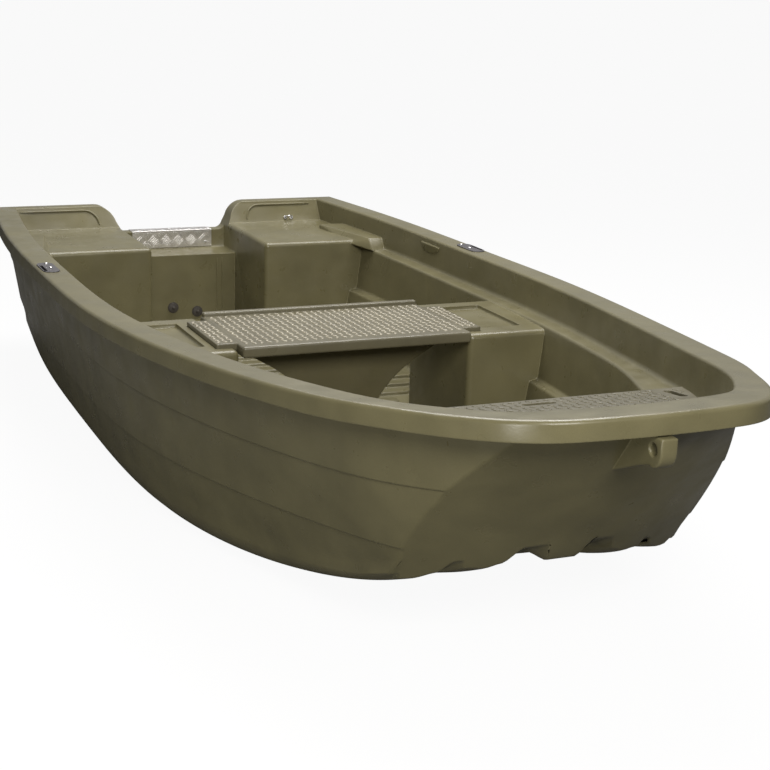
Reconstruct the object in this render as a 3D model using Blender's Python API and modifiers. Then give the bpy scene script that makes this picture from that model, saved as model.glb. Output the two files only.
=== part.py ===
"""Moulded polyethylene rowing boat: double skinned hull, liner, boards and fittings.

Axes: +X runs to the bow, +Y to port, +Z up. The origin lies on the ground under
the middle of the boat. Inside the functions, x is the distance from the stern
and z is the height above the stern gunwale; place() turns them into world
coordinates.
"""
import math

import bmesh
import bpy
import numpy as np
from mathutils import Matrix, Vector

# Hull lines, metres
GUNWALE_LENGTH = 3.545
LUG_REACH = 0.012
HULL_DEPTH = 0.535
SHEER_RISE = 0.132
SHEER_POWER = 3.95
BEAM_STATIONS = (0.0, 0.60, 1.30, 1.85, 2.40, 2.90, 3.20, 3.43)
HALF_BEAMS = (0.675, 0.735, 0.755, 0.748, 0.680, 0.571, 0.458, 0.288)

# Gunwale cap moulding
CAP_WIDTH = 0.085
CAP_SKIRT = 0.046
CAP_SKIN = 0.005
CAP_EDGE_RADIUS = 0.010
CAP_CORNER_RADIUS = 0.078
CAP_REACH = 0.012
BOW_CAP_WIDTH = 0.130
BOW_OVERHANG = 0.045
OVERHANG_START = 3.15
OVERHANG_FULL = 3.45
RIM_BULGE = 0.052
BOW_BULGE = 0.072
BULGE_REACH = 0.35

# Outer hull
HULL_SKIN = 0.006
HULL_INSET = 0.045
SIDE_FLARE = 0.065
BOW_FLARE = 0.055
FLARE_DEPTH = 0.370
FLARE_POWER = 1.3
BOW_LINES_START = 1.90
BOW_LINES_FULL = 3.10
UPPER_LAP_DEPTH = 0.180
LOWER_LAP_DEPTH = 0.340
LAP_STEP = 0.004
LAP_ABOVE = 0.014
LAP_BELOW = 0.004
TRANSOM_INSET = 0.012
TRANSOM_RAKE = 0.10
BOW_FACE_X = 3.455
BOW_FACE_DEPTH = -0.060
BOW_FACE_RAKE = 0.77
BOW_FACE_BULGE = 0.080
BILGE_HEIGHT = 0.110
BOW_BILGE_HEIGHT = 0.045
ROCKER_START = 1.80
ROCKER_RISE = 0.225
ROCKER_POWER = 3.0
BOW_FOOT_X = 3.165
STERN_RISE = 0.030
TUNNEL_HEIGHT = 0.050
GROOVE_HEIGHT = 0.030
RELIEF_FADE_START = 2.20
RELIEF_FADE_FULL = 3.15
TUNNEL_FADE = 0.45
GROOVE_FADE = 0.20
BILGE_SHARE = 0.85

# Inner liner
LINER_SKIN = 0.005
LEDGE_DEPTH = 0.105
LEDGE_WIDTH = 0.045
BOW_LEDGE_EXTRA = 0.055
BOW_LEDGE_RUN = 0.500
BOW_LEDGE_LEAD = 0.025
STEP_DEPTH = 0.160
STEP_WIDTH = 0.028
FLOOR_DEPTH = 0.430
FLOOR_CLEAR = 0.024
BOW_WALL_GAP = 0.070
BOW_UPPER_GAP = 0.030
SHOULDER_X = 0.052
SHOULDER_FOOT_X = 0.110
TRANSOM_WALL_X = 0.190
COCKPIT_RADIUS = 0.045
LOWER_WALL_INSET = 0.018
FLOOR_EDGE_INSET = 0.075
WALL_DRAFT = 0.006
CORNER_DROP = 0.004
RIM_HEIGHT = -0.002
BOW_CAP_NARROWING = 0.018
BOW_CAP_RUN = 0.500
BOW_CAP_END_GAP = 0.145
RIB_PITCH = 0.095
RIB_WIDTH = 0.055
RIB_HEIGHT = 0.010
RIB_CHAMFER = 0.008
RIB_LAST_X = 2.45
RIB_END_GAP = 0.110

# Motor cut-out in the transom
CUT_DEPTH = 0.107
CUT_HALF_SILL = 0.215
CUT_HALF_TOP = 0.303
CUT_FOOT_RADIUS = 0.030
CUT_TOP_RADIUS = 0.078
WELL_DEPTH = 0.177
WELL_REACH = 0.030

# Stern boxes and mid boxes
STERN_BOX_FRONT = 0.545
STERN_BOX_DEPTH = 0.078
STERN_BOX_HALF_GAP = 0.212
MID_BOX_AFT = 1.540
MID_BOX_LENGTH = 0.425
MID_BOX_HALF_GAP = 0.352
BOX_RADIUS = 0.016
BOX_EDGE_MIN = 0.003
MID_BOX_SET_DOWN = 0.002
TRAY_OFFSET = 0.060
TRAY_LENGTH = 0.290
TRAY_WIDTH = 0.130
TRAY_GAP = 0.022
TRAY_DEPTH = 0.012
TRAY_RADIUS = 0.006
TAB_SEAT_DEPTH = 0.008

# Raised strip beside each stern box, from its aft end to its sloping fore end
STRIP_AFT = 0.280
STRIP_FORE = 0.610
STRIP_TOE = 0.032
STRIP_HEIGHT = 0.016
STRIP_AFT_Y = 0.522
STRIP_FORE_Y = 0.595
STRIP_FOOT_Y = 0.547
STRIP_DROP = 0.043

# Round-bottomed boss on the inner wall ahead of each rowlock plate
BOSS_X = 1.000
BOSS_HALF_WIDTH = 0.070
BOSS_TOP_DEPTH = 0.020
BOSS_DEPTH = 0.050
BOSS_PROUD = 0.004
BOSS_ROOT = 0.003

# Mid thwart
THWART_OFFSET = 0.035
THWART_WIDTH = 0.410
THWART_HEIGHT = 0.032
THWART_SKIN = 0.006
THWART_TAB = 0.055
THWART_TAB_INSET = 0.060
THWART_TAB_THICKNESS = 0.022
THWART_LIP = 0.012
THWART_LIP_WIDTH = 0.0232
THWART_LIP_INSET = 0.0008
THWART_LIP_END_GAP = 0.004
THWART_LIP_RADIUS = 0.005
THWART_LIP_ROOT = 0.004
THWART_EDGE = 0.006
THWART_TAB_EDGE = 0.003
THWART_TAB_SET_DOWN = 0.001
THWART_BAYS = 4
SUPPORT_OFFSET = 0.290
SUPPORT_THICKNESS = 0.012
SUPPORT_HALF_FOOT = 0.080
SUPPORT_FOOT_REACH = 0.030
SUPPORT_TOP_GAP = 0.012
SUPPORT_POWER = 2.6

# Bow seat board
BOW_SEAT_FORE_GAP = 0.225
BOW_SEAT_LENGTH = 0.345
BOW_SEAT_INSET = 0.136
BOW_SEAT_THICKNESS = 0.040
BOW_SEAT_EDGE = 0.005
BOW_SEAT_CORNER = 0.025
BOW_SEAT_REST = 0.0024
GRIP_LENGTH = 0.085
GRIP_WIDTH = 0.022
GRIP_MIDDLE_X = 0.055
GRIP_SIDE_X = 0.075
GRIP_SIDE_INSET = 0.045
BOW_SEAT_SKIN = 0.007
SEAT_POCKET_SIDE_WALL = 0.072
SEAT_POCKET_ENDS = 0.010
SEAT_POCKET_ROWS = 3

# Tread plate on the motor pad
PLATE_HALF_WIDTH = 0.158
PLATE_DROP = 0.064
PLATE_LIP = 0.010
PLATE_THICKNESS = 0.002
PLATE_SCREW_Y = 0.133
PLATE_SCREW_DROP = 0.048

# Small screws
SCREW_HEAD_RADIUS = 0.0055
SCREW_HEAD_HEIGHT = 0.0028
SCREW_RADIUS = 0.0024
SCREW_LENGTH = 0.015

# Drains through the stern
UPPER_DRAIN_Y = -0.036
UPPER_DRAIN_DEPTH = 0.380
LOWER_DRAIN_Y = 0.060
LOWER_DRAIN_DEPTH = 0.400
DRAIN_RADIUS = 0.015
DRAIN_BORE = 0.0115
DRAIN_FLANGE = 0.021
DRAIN_FLANGE_THICKNESS = 0.003
DRAIN_TAIL = 0.002
PLUG_REACH = 0.020
PLUG_LEAD = 0.006
PLUG_LEAD_TAPER = 0.002
PLUG_RIM = 0.003
PLUG_DOME = 0.0045
PLUG_KNOB_FOOT = 0.006
PLUG_KNOB_RADIUS = 0.004
PLUG_KNOB_HEIGHT = 0.0125

# Rowlock sockets in the gunwales
SOCKET_X = 1.206
SOCKET_LENGTH = 0.150
SOCKET_WIDTH = 0.050
SOCKET_PLATE = 0.0035
SOCKET_SEAT = 0.001
SOCKET_INSET = 0.034
SLOT_OFFSET_X = 0.012
SLOT_OFFSET_Y = 0.017
SLOT_LENGTH = 0.090
SLOT_WIDTH = 0.010
SLOT_WALL = 0.003
SLOT_DEPTH = 0.040
SOCKET_SCREWS = (-0.060, 0.006)
SOCKET_SCREW_OFFSET_Y = 0.006

# Mooring eye on the port shoulder
EYE_Y = 0.464
EYE_DEPTH = 0.064
EYE_SPREAD = 0.024
EYE_FOOT_RADIUS = 0.007
EYE_FOOT_HEIGHT = 0.003
EYE_ROD_RADIUS = 0.003
EYE_REACH = 0.014

# Stiffening board in the motor pad
CORE_HALF_WIDTH = 0.175
CORE_FOOT_GAP = 0.006

# Buoyancy foam
FOAM_HEIGHT = 0.190
FOAM_STERN_REACH = 0.500
FOAM_MID_REACH = 0.560

# Towing lug
LUG_WIDTH = 0.038
LUG_HOLE_RADIUS = 0.013
LUG_RADIUS = 0.030
LUG_HOLE_DROP = 0.030
LUG_NOSE_SWEEP = 0.62
LUG_HEEL_X = 0.045
LUG_HEEL_DROP = 0.034
LUG_ROOT_DROP = 0.075
LUG_SINK = 0.6

# Reach of the cutting tools past the pieces that they cut
OPEN_TOP = 0.06
TOOL_PAST = 0.05
TOOL_SIDE = 1.2
TOOL_FOOT = -0.8

# Clearances
FIT = 0.0003
LOOSE = 0.0015

OVERALL_LENGTH = GUNWALE_LENGTH + LUG_REACH
TRAY_AFT = MID_BOX_AFT + TRAY_OFFSET
THWART_AFT = MID_BOX_AFT + THWART_OFFSET
SUPPORT_X = THWART_AFT + SUPPORT_OFFSET
BOW_SEAT_FORE = GUNWALE_LENGTH - BOW_SEAT_FORE_GAP
BOW_SEAT_AFT = BOW_SEAT_FORE - BOW_SEAT_LENGTH
STATIONS = 17
SIDE_POINTS = 15
FRONT_POINTS = 4

BOAT = "plastic_rowing_boat"


def collection(name):
    found = bpy.data.collections.get(name)
    if found is None:
        found = bpy.data.collections.new(name)
        bpy.context.scene.collection.children.link(found)
    return found


def clear_scene():
    for old in list(bpy.data.objects):
        bpy.data.objects.remove(old, do_unlink=True)


def material(name, color, roughness, metallic=0.0):
    made = bpy.data.materials.new(name)
    made.use_nodes = True
    shader = made.node_tree.nodes["Principled BSDF"]
    shader.inputs["Base Color"].default_value = (*color, 1.0)
    shader.inputs["Roughness"].default_value = roughness
    shader.inputs["Metallic"].default_value = metallic
    return made


def place(x, y, z):
    """World point for a distance from the stern, a side and a height."""
    return Vector((x - OVERALL_LENGTH / 2, y, z + HULL_DEPTH))


def add_object(name, mesh, into=BOAT):
    made = bpy.data.objects.new(name, mesh)
    collection(into).objects.link(made)
    if into != BOAT:
        made.hide_render = True
        made.display_type = "WIRE"
    return made


def mesh_from(name, points, faces):
    bm = bmesh.new()
    made = [bm.verts.new(p) for p in points]
    for face in faces:
        corners = []
        for index in face:
            if made[index] not in corners:
                corners.append(made[index])
        if len(corners) > 2:
            bm.faces.new(corners)
    bmesh.ops.remove_doubles(bm, verts=bm.verts, dist=1e-6)
    bmesh.ops.dissolve_degenerate(bm, edges=bm.edges, dist=1e-6)
    bmesh.ops.recalc_face_normals(bm, faces=bm.faces)
    mesh = bpy.data.meshes.new(name)
    bm.to_mesh(mesh)
    bm.free()
    return mesh


def smooth(obj, angle=35.0):
    obj.data.shade_smooth()
    obj.data.set_sharp_from_angle(angle=math.radians(angle))


def dress(obj, finish):
    obj.data.materials.clear()
    obj.data.materials.append(finish)
    return obj


def combine(target, tool, operation):
    """Boolean of the target with the tool, applied; the tool is removed."""
    modifier = target.modifiers.new("combine", "BOOLEAN")
    modifier.operation = operation
    modifier.object = tool
    modifier.solver = "EXACT"
    bpy.context.view_layer.update()
    graph = bpy.context.evaluated_depsgraph_get()
    mesh = bpy.data.meshes.new_from_object(target.evaluated_get(graph))
    target.modifiers.clear()
    target.data = mesh
    bpy.data.objects.remove(tool, do_unlink=True)


def applied(obj):
    """The object with its modifiers applied."""
    bpy.context.view_layer.update()
    graph = bpy.context.evaluated_depsgraph_get()
    mesh = bpy.data.meshes.new_from_object(obj.evaluated_get(graph))
    obj.modifiers.clear()
    obj.data = mesh
    return obj


def box(name, low, high, into="cutters", radius=0.0):
    """A block between two corners, with rounded edges where a radius is given."""
    bm = bmesh.new()
    size = [b - a for a, b in zip(low, high)]
    middle = [(a + b) / 2 for a, b in zip(low, high)]
    matrix = Matrix.Translation(place(*middle)) @ Matrix.Diagonal((*size, 1.0))
    bmesh.ops.create_cube(bm, size=1.0, matrix=matrix)
    mesh = bpy.data.meshes.new(name)
    bm.to_mesh(mesh)
    bm.free()
    made = add_object(name, mesh, into)
    if radius > 0.0:
        bevel = made.modifiers.new("round", "BEVEL")
        bevel.width = radius
        bevel.segments = 2
        applied(made)
    return made


def rod(name, start, axis, radius, length, sides=20, into="cutters"):
    """A cylinder from a point along an axis."""
    bm = bmesh.new()
    turn = Vector((0, 0, 1)).rotation_difference(Vector(axis)).to_matrix().to_4x4()
    matrix = Matrix.Translation(place(*start)) @ turn @ Matrix.Translation((0, 0, length / 2))
    bmesh.ops.create_cone(bm, cap_ends=True, segments=sides, radius1=radius,
                          radius2=radius, depth=length, matrix=matrix)
    mesh = bpy.data.meshes.new(name)
    bm.to_mesh(mesh)
    bm.free()
    return add_object(name, mesh, into)


def turned(name, profile, start, axis, finish, sides=20):
    """A turned piece: profile of (radius, distance along the axis), base first."""
    bm = bmesh.new()
    verts = [bm.verts.new((r, 0.0, h)) for r, h in reversed(profile)]
    for a, b in zip(verts[:-1], verts[1:]):
        bm.edges.new((a, b))
    mesh = bpy.data.meshes.new(name)
    bm.to_mesh(mesh)
    bm.free()
    made = add_object(name, mesh)
    screw = made.modifiers.new("turn", "SCREW")
    screw.steps = sides
    screw.render_steps = sides
    screw.use_merge_vertices = True
    screw.merge_threshold = 0.00001
    screw.use_normal_calculate = True
    applied(made)
    bm = bmesh.new()
    bm.from_mesh(made.data)
    bmesh.ops.remove_doubles(bm, verts=bm.verts, dist=0.00001)
    bmesh.ops.recalc_face_normals(bm, faces=bm.faces)
    bm.to_mesh(made.data)
    bm.free()
    turn = Vector((0, 0, 1)).rotation_difference(Vector(axis))
    made.rotation_mode = "QUATERNION"
    made.rotation_quaternion = turn
    made.location = place(*start)
    smooth(made)
    return dress(made, finish)


def spline_through(xs, ys):
    """Natural cubic spline through the stations, as a function."""
    xs = np.asarray(xs, float)
    ys = np.asarray(ys, float)
    count = len(xs)
    gaps = np.diff(xs)
    left = np.zeros((count, count))
    right = np.zeros(count)
    left[0, 0] = 1.0
    left[-1, -1] = 1.0
    for i in range(1, count - 1):
        left[i, i - 1] = gaps[i - 1]
        left[i, i] = 2 * (gaps[i - 1] + gaps[i])
        left[i, i + 1] = gaps[i]
        right[i] = 6 * ((ys[i + 1] - ys[i]) / gaps[i] - (ys[i] - ys[i - 1]) / gaps[i - 1])
    bends = np.linalg.solve(left, right)

    def value(x):
        i = int(np.clip(np.searchsorted(xs, x) - 1, 0, count - 2))
        gap = gaps[i]
        a = (xs[i + 1] - x) / gap
        b = (x - xs[i]) / gap
        curve = ((a ** 3 - a) * bends[i] + (b ** 3 - b) * bends[i + 1]) * gap * gap / 6
        return float(a * ys[i] + b * ys[i + 1] + curve)

    return value


half_beam = spline_through(BEAM_STATIONS, HALF_BEAMS)


def sheer(x):
    """Height of the gunwale over the stern gunwale."""
    return SHEER_RISE * max(0.0, x / GUNWALE_LENGTH) ** SHEER_POWER


def ease(low, high, x):
    t = min(1.0, max(0.0, (x - low) / (high - low)))
    return t * t * (3 - 2 * t)


def keel_height(x):
    """Lowest line of the bottom at a station."""
    fore = max(0.0, x - ROCKER_START) / (BOW_FOOT_X - ROCKER_START)
    aft = max(0.0, 1.0 - x / ROCKER_START)
    return -HULL_DEPTH + ROCKER_RISE * fore ** ROCKER_POWER + STERN_RISE * aft ** 2


def chine_height(x):
    fore = ease(BOW_LINES_START, BOW_LINES_FULL, x)
    return keel_height(x) + BILGE_HEIGHT * (1 - fore) + BOW_BILGE_HEIGHT * fore


def side_half(x, depth):
    """Half breadth of the hull side at a depth under the gunwale."""
    flare = SIDE_FLARE + BOW_FLARE * ease(BOW_LINES_START, BOW_LINES_FULL, x)
    drop = max(0.0, depth - CAP_SKIRT) / FLARE_DEPTH
    return half_beam(x) - HULL_INSET - flare * drop ** FLARE_POWER


def chine_half(x):
    return side_half(x, sheer(x) - chine_height(x))


def bow_face(y, z):
    """Distance from the stern to the raked bow face."""
    drop = max(0.0, -BOW_FACE_DEPTH - z)
    return BOW_FACE_X - BOW_FACE_RAKE * drop - BOW_FACE_BULGE * (y / BULGE_REACH) ** 2


def transom_face(z):
    return TRANSOM_INSET + TRANSOM_RAKE * max(0.0, -z)


# Bottom relief across the half breadth: share of the half breadth, the relief it is on
# (0 runner, 1 tunnel, 2 groove) and the rise of a runner
BOTTOM_SHARES = ((0.00, 0.00, 0.0), (0.11, 0.00, 0.006), (0.17, 1.00, 0.0), (0.30, 1.00, 0.0),
                 (0.36, 0.00, 0.008), (0.49, 0.00, 0.0), (0.62, 0.00, 0.008), (0.67, 2.00, 0.0),
                 (0.71, 2.00, 0.0), (0.76, 0.00, 0.006), (0.85, 0.00, 0.0), (0.94, 0.00, 0.0))


def bottom_height(x, share, body, rise):
    fore = ease(RELIEF_FADE_START, RELIEF_FADE_FULL, x)
    relief = rise
    if body == 1.0:
        relief = TUNNEL_HEIGHT * (1 - TUNNEL_FADE * fore)
    elif body == 2.0:
        relief = GROOVE_HEIGHT * (1 - GROOVE_FADE * fore)
    height = keel_height(x) + relief
    if share > BILGE_SHARE:
        turn = (share - BILGE_SHARE) / (1 - BILGE_SHARE)
        height += (chine_height(x) - keel_height(x)) * (1 - math.sqrt(1 - turn * turn))
    return height


def side_rows():
    """Depth function and outward lap of each row of the hull side, top first."""
    under_cap = CAP_SKIN + LOOSE
    fixed = ((under_cap, 0.0), (CAP_SKIRT, 0.0), (0.5 * (CAP_SKIRT + UPPER_LAP_DEPTH), 0.0),
             (UPPER_LAP_DEPTH - LAP_ABOVE, LAP_STEP), (UPPER_LAP_DEPTH + LAP_BELOW, 0.0),
             (0.5 * (UPPER_LAP_DEPTH + LOWER_LAP_DEPTH), 0.0),
             (LOWER_LAP_DEPTH - LAP_ABOVE, LAP_STEP), (LOWER_LAP_DEPTH + LAP_BELOW, 0.0))
    rows = [(lambda x, d=d: d, lap) for d, lap in fixed]
    rows.append((lambda x: sheer(x) - chine_height(x), 0.0))
    return rows


def hull_point(row, run):
    """Point of a section row, run being 0 at the transom and 1 at the bow face."""
    kind = row[0]
    x = 1.7
    for _ in range(12):
        if kind == "side":
            depth = row[1](x)
            y = side_half(x, depth) + row[2]
            z = sheer(x) - depth
        else:
            y = row[1] * chine_half(x)
            z = bottom_height(x, *row[1:])
        aft = transom_face(z)
        x = aft + run * (bow_face(y, z) - aft)
    return x, y, z


def hull_runs():
    return [1 - (1 - i / (STATIONS - 1)) ** 1.3 for i in range(STATIONS)]


def outer_hull(finish):
    """Lofted hull skin: sides, bottom with its runners, transom and bow face."""
    sides = [("side", depth, lap) for depth, lap in side_rows()]
    bottom = [("bottom",) + entry for entry in reversed(BOTTOM_SHARES)]
    half = sides + bottom
    width = 2 * len(half) - 1
    runs = hull_runs()
    points = []
    faces = []
    for run in runs:
        section = [hull_point(row, run) for row in half]
        loop = [place(x, -y, z) for x, y, z in section]
        loop += [place(x, y, z) for x, y, z in reversed(section[:-1])]
        points += loop
    for i in range(len(runs) - 1):
        for j in range(width - 1):
            a = i * width + j
            faces.append((a, a + 1, a + width + 1, a + width))
    shares = [entry[0] for entry in BOTTOM_SHARES]
    spread = [-1.0] + [-s for s in reversed(shares)] + shares[1:] + [1.0]
    for end, run in ((0, 0.0), (len(runs) - 1, 1.0)):
        start = end * width + len(sides) - 1
        foot = list(range(start, start + len(spread)))
        foot_heights = [points[i].z - HULL_DEPTH for i in foot]
        chine_z = foot_heights[0]
        top_z = hull_point(sides[0], run)[2]
        ladder = []
        for k, row in enumerate(sides[:-1]):
            _, y, z = hull_point(row, run)
            rise = (z - chine_z) / (top_z - chine_z)
            rung = [end * width + k]
            for s, low in zip(spread[1:-1], foot_heights[1:-1]):
                height = low + rise * (top_z - low)
                face_x = transom_face(height) if end == 0 else bow_face(s * y, height)
                rung.append(len(points))
                points.append(place(face_x, s * y, height))
            rung.append(end * width + width - 1 - k)
            ladder.append(rung)
        ladder.append(foot)
        for upper, lower in zip(ladder[:-1], ladder[1:]):
            for k in range(len(upper) - 1):
                faces.append((upper[k], upper[k + 1], lower[k + 1], lower[k]))
    hull = add_object("outer_hull", mesh_from("outer_hull", points, faces))
    turn_outward(hull)
    skin = hull.modifiers.new("skin", "SOLIDIFY")
    skin.thickness = HULL_SKIN
    skin.offset = -1.0
    skin.use_even_offset = False
    applied(hull)
    grow = LINER_SKIN + FIT
    notch_fore = SHOULDER_X + TOOL_PAST - TRANSOM_INSET
    combine(hull, cutout_tool("hull_notch", grow, OPEN_TOP, -TOOL_PAST, notch_fore), "DIFFERENCE")
    for y, depth in ((UPPER_DRAIN_Y, UPPER_DRAIN_DEPTH), (LOWER_DRAIN_Y, LOWER_DRAIN_DEPTH)):
        hole = rod("drain_hole", (-TOOL_PAST, y, -depth), (1, 0, 0), DRAIN_RADIUS + FIT,
                   TOOL_PAST + transom_face(-depth) + TOOL_PAST)
        combine(hull, hole, "DIFFERENCE")
    combine(hull, lug_blank(), "UNION")
    hole_x, hole_z = lug_centre()
    hole = rod("lug_hole", (hole_x, -LUG_WIDTH, hole_z), (0, 1, 0), LUG_HOLE_RADIUS, 2 * LUG_WIDTH, 24)
    combine(hull, hole, "DIFFERENCE")
    smooth(hull, 28)
    return dress(hull, finish)


def turn_outward(obj):
    """Flip an open skin whose faces point to its middle."""
    mesh = obj.data
    middle = sum((Vector(v.co) for v in mesh.vertices), Vector()) / len(mesh.vertices)
    total = sum(p.area * (Vector(p.center) - middle).dot(p.normal) for p in mesh.polygons)
    if total < 0:
        mesh.flip_normals()


def lug_centre():
    x = OVERALL_LENGTH - LUG_RADIUS
    return x, sheer(x) - CAP_SKIRT - FIT - LUG_HOLE_DROP


def lug_blank():
    """Side view of the towing lug, pushed out to its width."""
    cx, cz = lug_centre()
    top = sheer(cx) - CAP_SKIRT - FIT - LOOSE
    inner = -LUG_SINK * HULL_SKIN
    points = [(cx + LUG_RADIUS, top)]
    for i in range(9):
        angle = -math.pi * LUG_NOSE_SWEEP * i / 8
        points.append((cx + LUG_RADIUS * math.cos(angle), cz + LUG_RADIUS * math.sin(angle)))
    low = cz - LUG_ROOT_DROP
    points.append((cx - LUG_HEEL_X, cz - LUG_HEEL_DROP))
    points.append((bow_face(0, low) + inner, low))
    points.append((bow_face(0, top) + inner, top))
    return prism("lug_blank", points, -LUG_WIDTH / 2, LUG_WIDTH / 2, "xz")


def prism(name, outline, low, high, plane, into="cutters"):
    """Closed outline pushed along the third axis between two values."""
    points = []
    for third in (low, high):
        for a, b in outline:
            if plane == "xz":
                points.append(place(a, third, b))
            elif plane == "yz":
                points.append(place(third, a, b))
            else:
                points.append(place(a, b, third))
    n = len(outline)
    faces = [tuple(range(n)), tuple(range(2 * n - 1, n - 1, -1))]
    for i in range(n):
        j = (i + 1) % n
        faces.append((i, i + n, j + n, j))
    return add_object(name, mesh_from(name, points, faces), into)


def cutout_outline(grow, top):
    """Motor cut-out seen from astern, from the sill up to the top given."""
    foot = (CUT_HALF_SILL + grow - CUT_FOOT_RADIUS, -CUT_DEPTH - grow + CUT_FOOT_RADIUS)
    shoulder = (CUT_HALF_TOP + grow, -CUT_TOP_RADIUS)
    right = []
    for i in range(4):
        angle = math.radians(-90 + 25 * i)
        right.append((foot[0] + CUT_FOOT_RADIUS * math.cos(angle),
                      foot[1] + CUT_FOOT_RADIUS * math.sin(angle)))
    for i in range(6):
        angle = math.radians(165 - 15 * i)
        z = shoulder[1] + CUT_TOP_RADIUS * math.sin(angle)
        right.append((shoulder[0] + CUT_TOP_RADIUS * math.cos(angle), min(z, top)))
    if top > 0.0:
        right.append((shoulder[0], top))
    left = [(-y, z) for y, z in reversed(right)]
    return right + left


def cutout_tool(name, grow, top, x_low, x_high):
    return prism(name, cutout_outline(grow, top), x_low, x_high, "yz")


def plan_loop(aft, front, inset, radius, height, bulge=BOW_BULGE):
    """Closed plan outline with a bowed front edge and rounded bow corners."""
    def side(x):
        return half_beam(x) - inset(x)

    def fore(y):
        return front - bulge * (y / BULGE_REACH) ** 2

    corner_x = front
    for _ in range(30):
        corner_x = 0.5 * (corner_x + fore(side(corner_x)))
    corner_y = side(corner_x)
    last_x = corner_x - radius
    half = []
    for i in range(SIDE_POINTS):
        t = 1 - (1 - i / (SIDE_POINTS - 1)) ** 1.25
        x = aft + (last_x - aft) * t
        half.append((x, side(x)))
    first_y = corner_y - radius
    for t in (0.35, 0.7):
        x = (1 - t) ** 2 * last_x + 2 * t * (1 - t) * corner_x + t * t * fore(first_y)
        y = (1 - t) ** 2 * side(last_x) + 2 * t * (1 - t) * corner_y + t * t * first_y
        half.append((x, y))
    for i in range(FRONT_POINTS):
        y = first_y * (1 - i / (FRONT_POINTS - 0.5))
        half.append((fore(y), y))
    loop = [(x, -y, height(x)) for x, y in half]
    loop += [(x, y, height(x)) for x, y in reversed(half)]
    return loop


def loft(name, loops, ring=False, into="cutters"):
    """Skin between plan outlines with the same number of points, closed by ladders."""
    n = len(loops[0])
    points = [place(*p) for loop in loops for p in loop]
    faces = []
    steps = len(loops) if ring else len(loops) - 1
    for i in range(steps):
        below = ((i + 1) % len(loops)) * n
        for j in range(n):
            k = (j + 1) % n
            faces.append((i * n + j, i * n + k, below + k, below + j))
    if not ring:
        for start in (0, (len(loops) - 1) * n):
            for j in range(n // 2 - 1):
                faces.append((start + j, start + j + 1, start + n - 2 - j, start + n - 1 - j))
    return add_object(name, mesh_from(name, points, faces), into)


def ledge_inset(x):
    full = BOW_SEAT_AFT - BOW_LEDGE_LEAD
    widening = BOW_LEDGE_EXTRA * ease(full - BOW_LEDGE_RUN, full, x)
    return CAP_WIDTH + WALL_DRAFT + LEDGE_WIDTH + widening


def floor_height(x):
    return max(-FLOOR_DEPTH, keel_height(x) + TUNNEL_HEIGHT + FLOOR_CLEAR)


def cap_inset(x):
    full = GUNWALE_LENGTH - BOW_CAP_END_GAP
    return CAP_WIDTH - BOW_CAP_NARROWING * ease(full - BOW_CAP_RUN, full, x)


def cockpit_rows(grow, top):
    """Loops of the space inside the liner, from above the gunwale to the floor."""
    cap_front = GUNWALE_LENGTH - BOW_CAP_WIDTH
    ledge = sheer(cap_front) - LEDGE_DEPTH
    step = ledge - STEP_DEPTH
    upper_front = bow_face(0.0, ledge) - BOW_UPPER_GAP
    step_front = bow_face(0.0, step) - BOW_WALL_GAP
    floor_front = bow_face(0.0, floor_height(step_front)) - BOW_WALL_GAP
    slope_grow = 1.3 * grow
    stern_wall = TRANSOM_WALL_X - grow

    def draft(extra):
        return lambda x: ledge_inset(x) + extra

    rows = [
        (SHOULDER_X - slope_grow, cap_front, cap_inset, top),
        (SHOULDER_X - slope_grow, cap_front, cap_inset, RIM_HEIGHT),
        (SHOULDER_FOOT_X - slope_grow, upper_front, lambda x: cap_inset(x) + WALL_DRAFT,
         -LEDGE_DEPTH + CORNER_DROP),
        (stern_wall, upper_front - BOW_LEDGE_EXTRA, ledge_inset, -LEDGE_DEPTH),
        (stern_wall, step_front, draft(LOWER_WALL_INSET), -LEDGE_DEPTH - STEP_DEPTH),
        (stern_wall, step_front - STEP_WIDTH, draft(LOWER_WALL_INSET + STEP_WIDTH),
         -LEDGE_DEPTH - STEP_DEPTH - CORNER_DROP),
    ]
    if top == RIM_HEIGHT:
        rows.pop(0)
    loops = []
    for aft, front, inset, drop in rows:
        lower = grow if drop < RIM_HEIGHT else 0.0
        loops.append(plan_loop(aft, front + grow, lambda x, f=inset: f(x) - grow, COCKPIT_RADIUS,
                               lambda x, d=drop, g=lower: sheer(x) + d - g))
    loops.append(plan_loop(stern_wall, floor_front + grow, lambda x: ledge_inset(x) + FLOOR_EDGE_INSET - grow,
                           COCKPIT_RADIUS, lambda x: floor_height(x) - grow))
    return loops


def mirrored_boxes(name, low, high, shrink, radius):
    """A block and its mirror image across the centre plane."""
    made = []
    for side in (-1, 1):
        y = sorted((side * (low[1] + shrink), side * high[1]))
        corner_a = (low[0] + shrink if low[0] > 0 else low[0], y[0], low[2])
        corner_b = (high[0] - shrink, y[1], high[2] - shrink)
        made.append(box(name, corner_a, corner_b, radius=max(BOX_EDGE_MIN, radius - shrink)))
    return made


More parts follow.
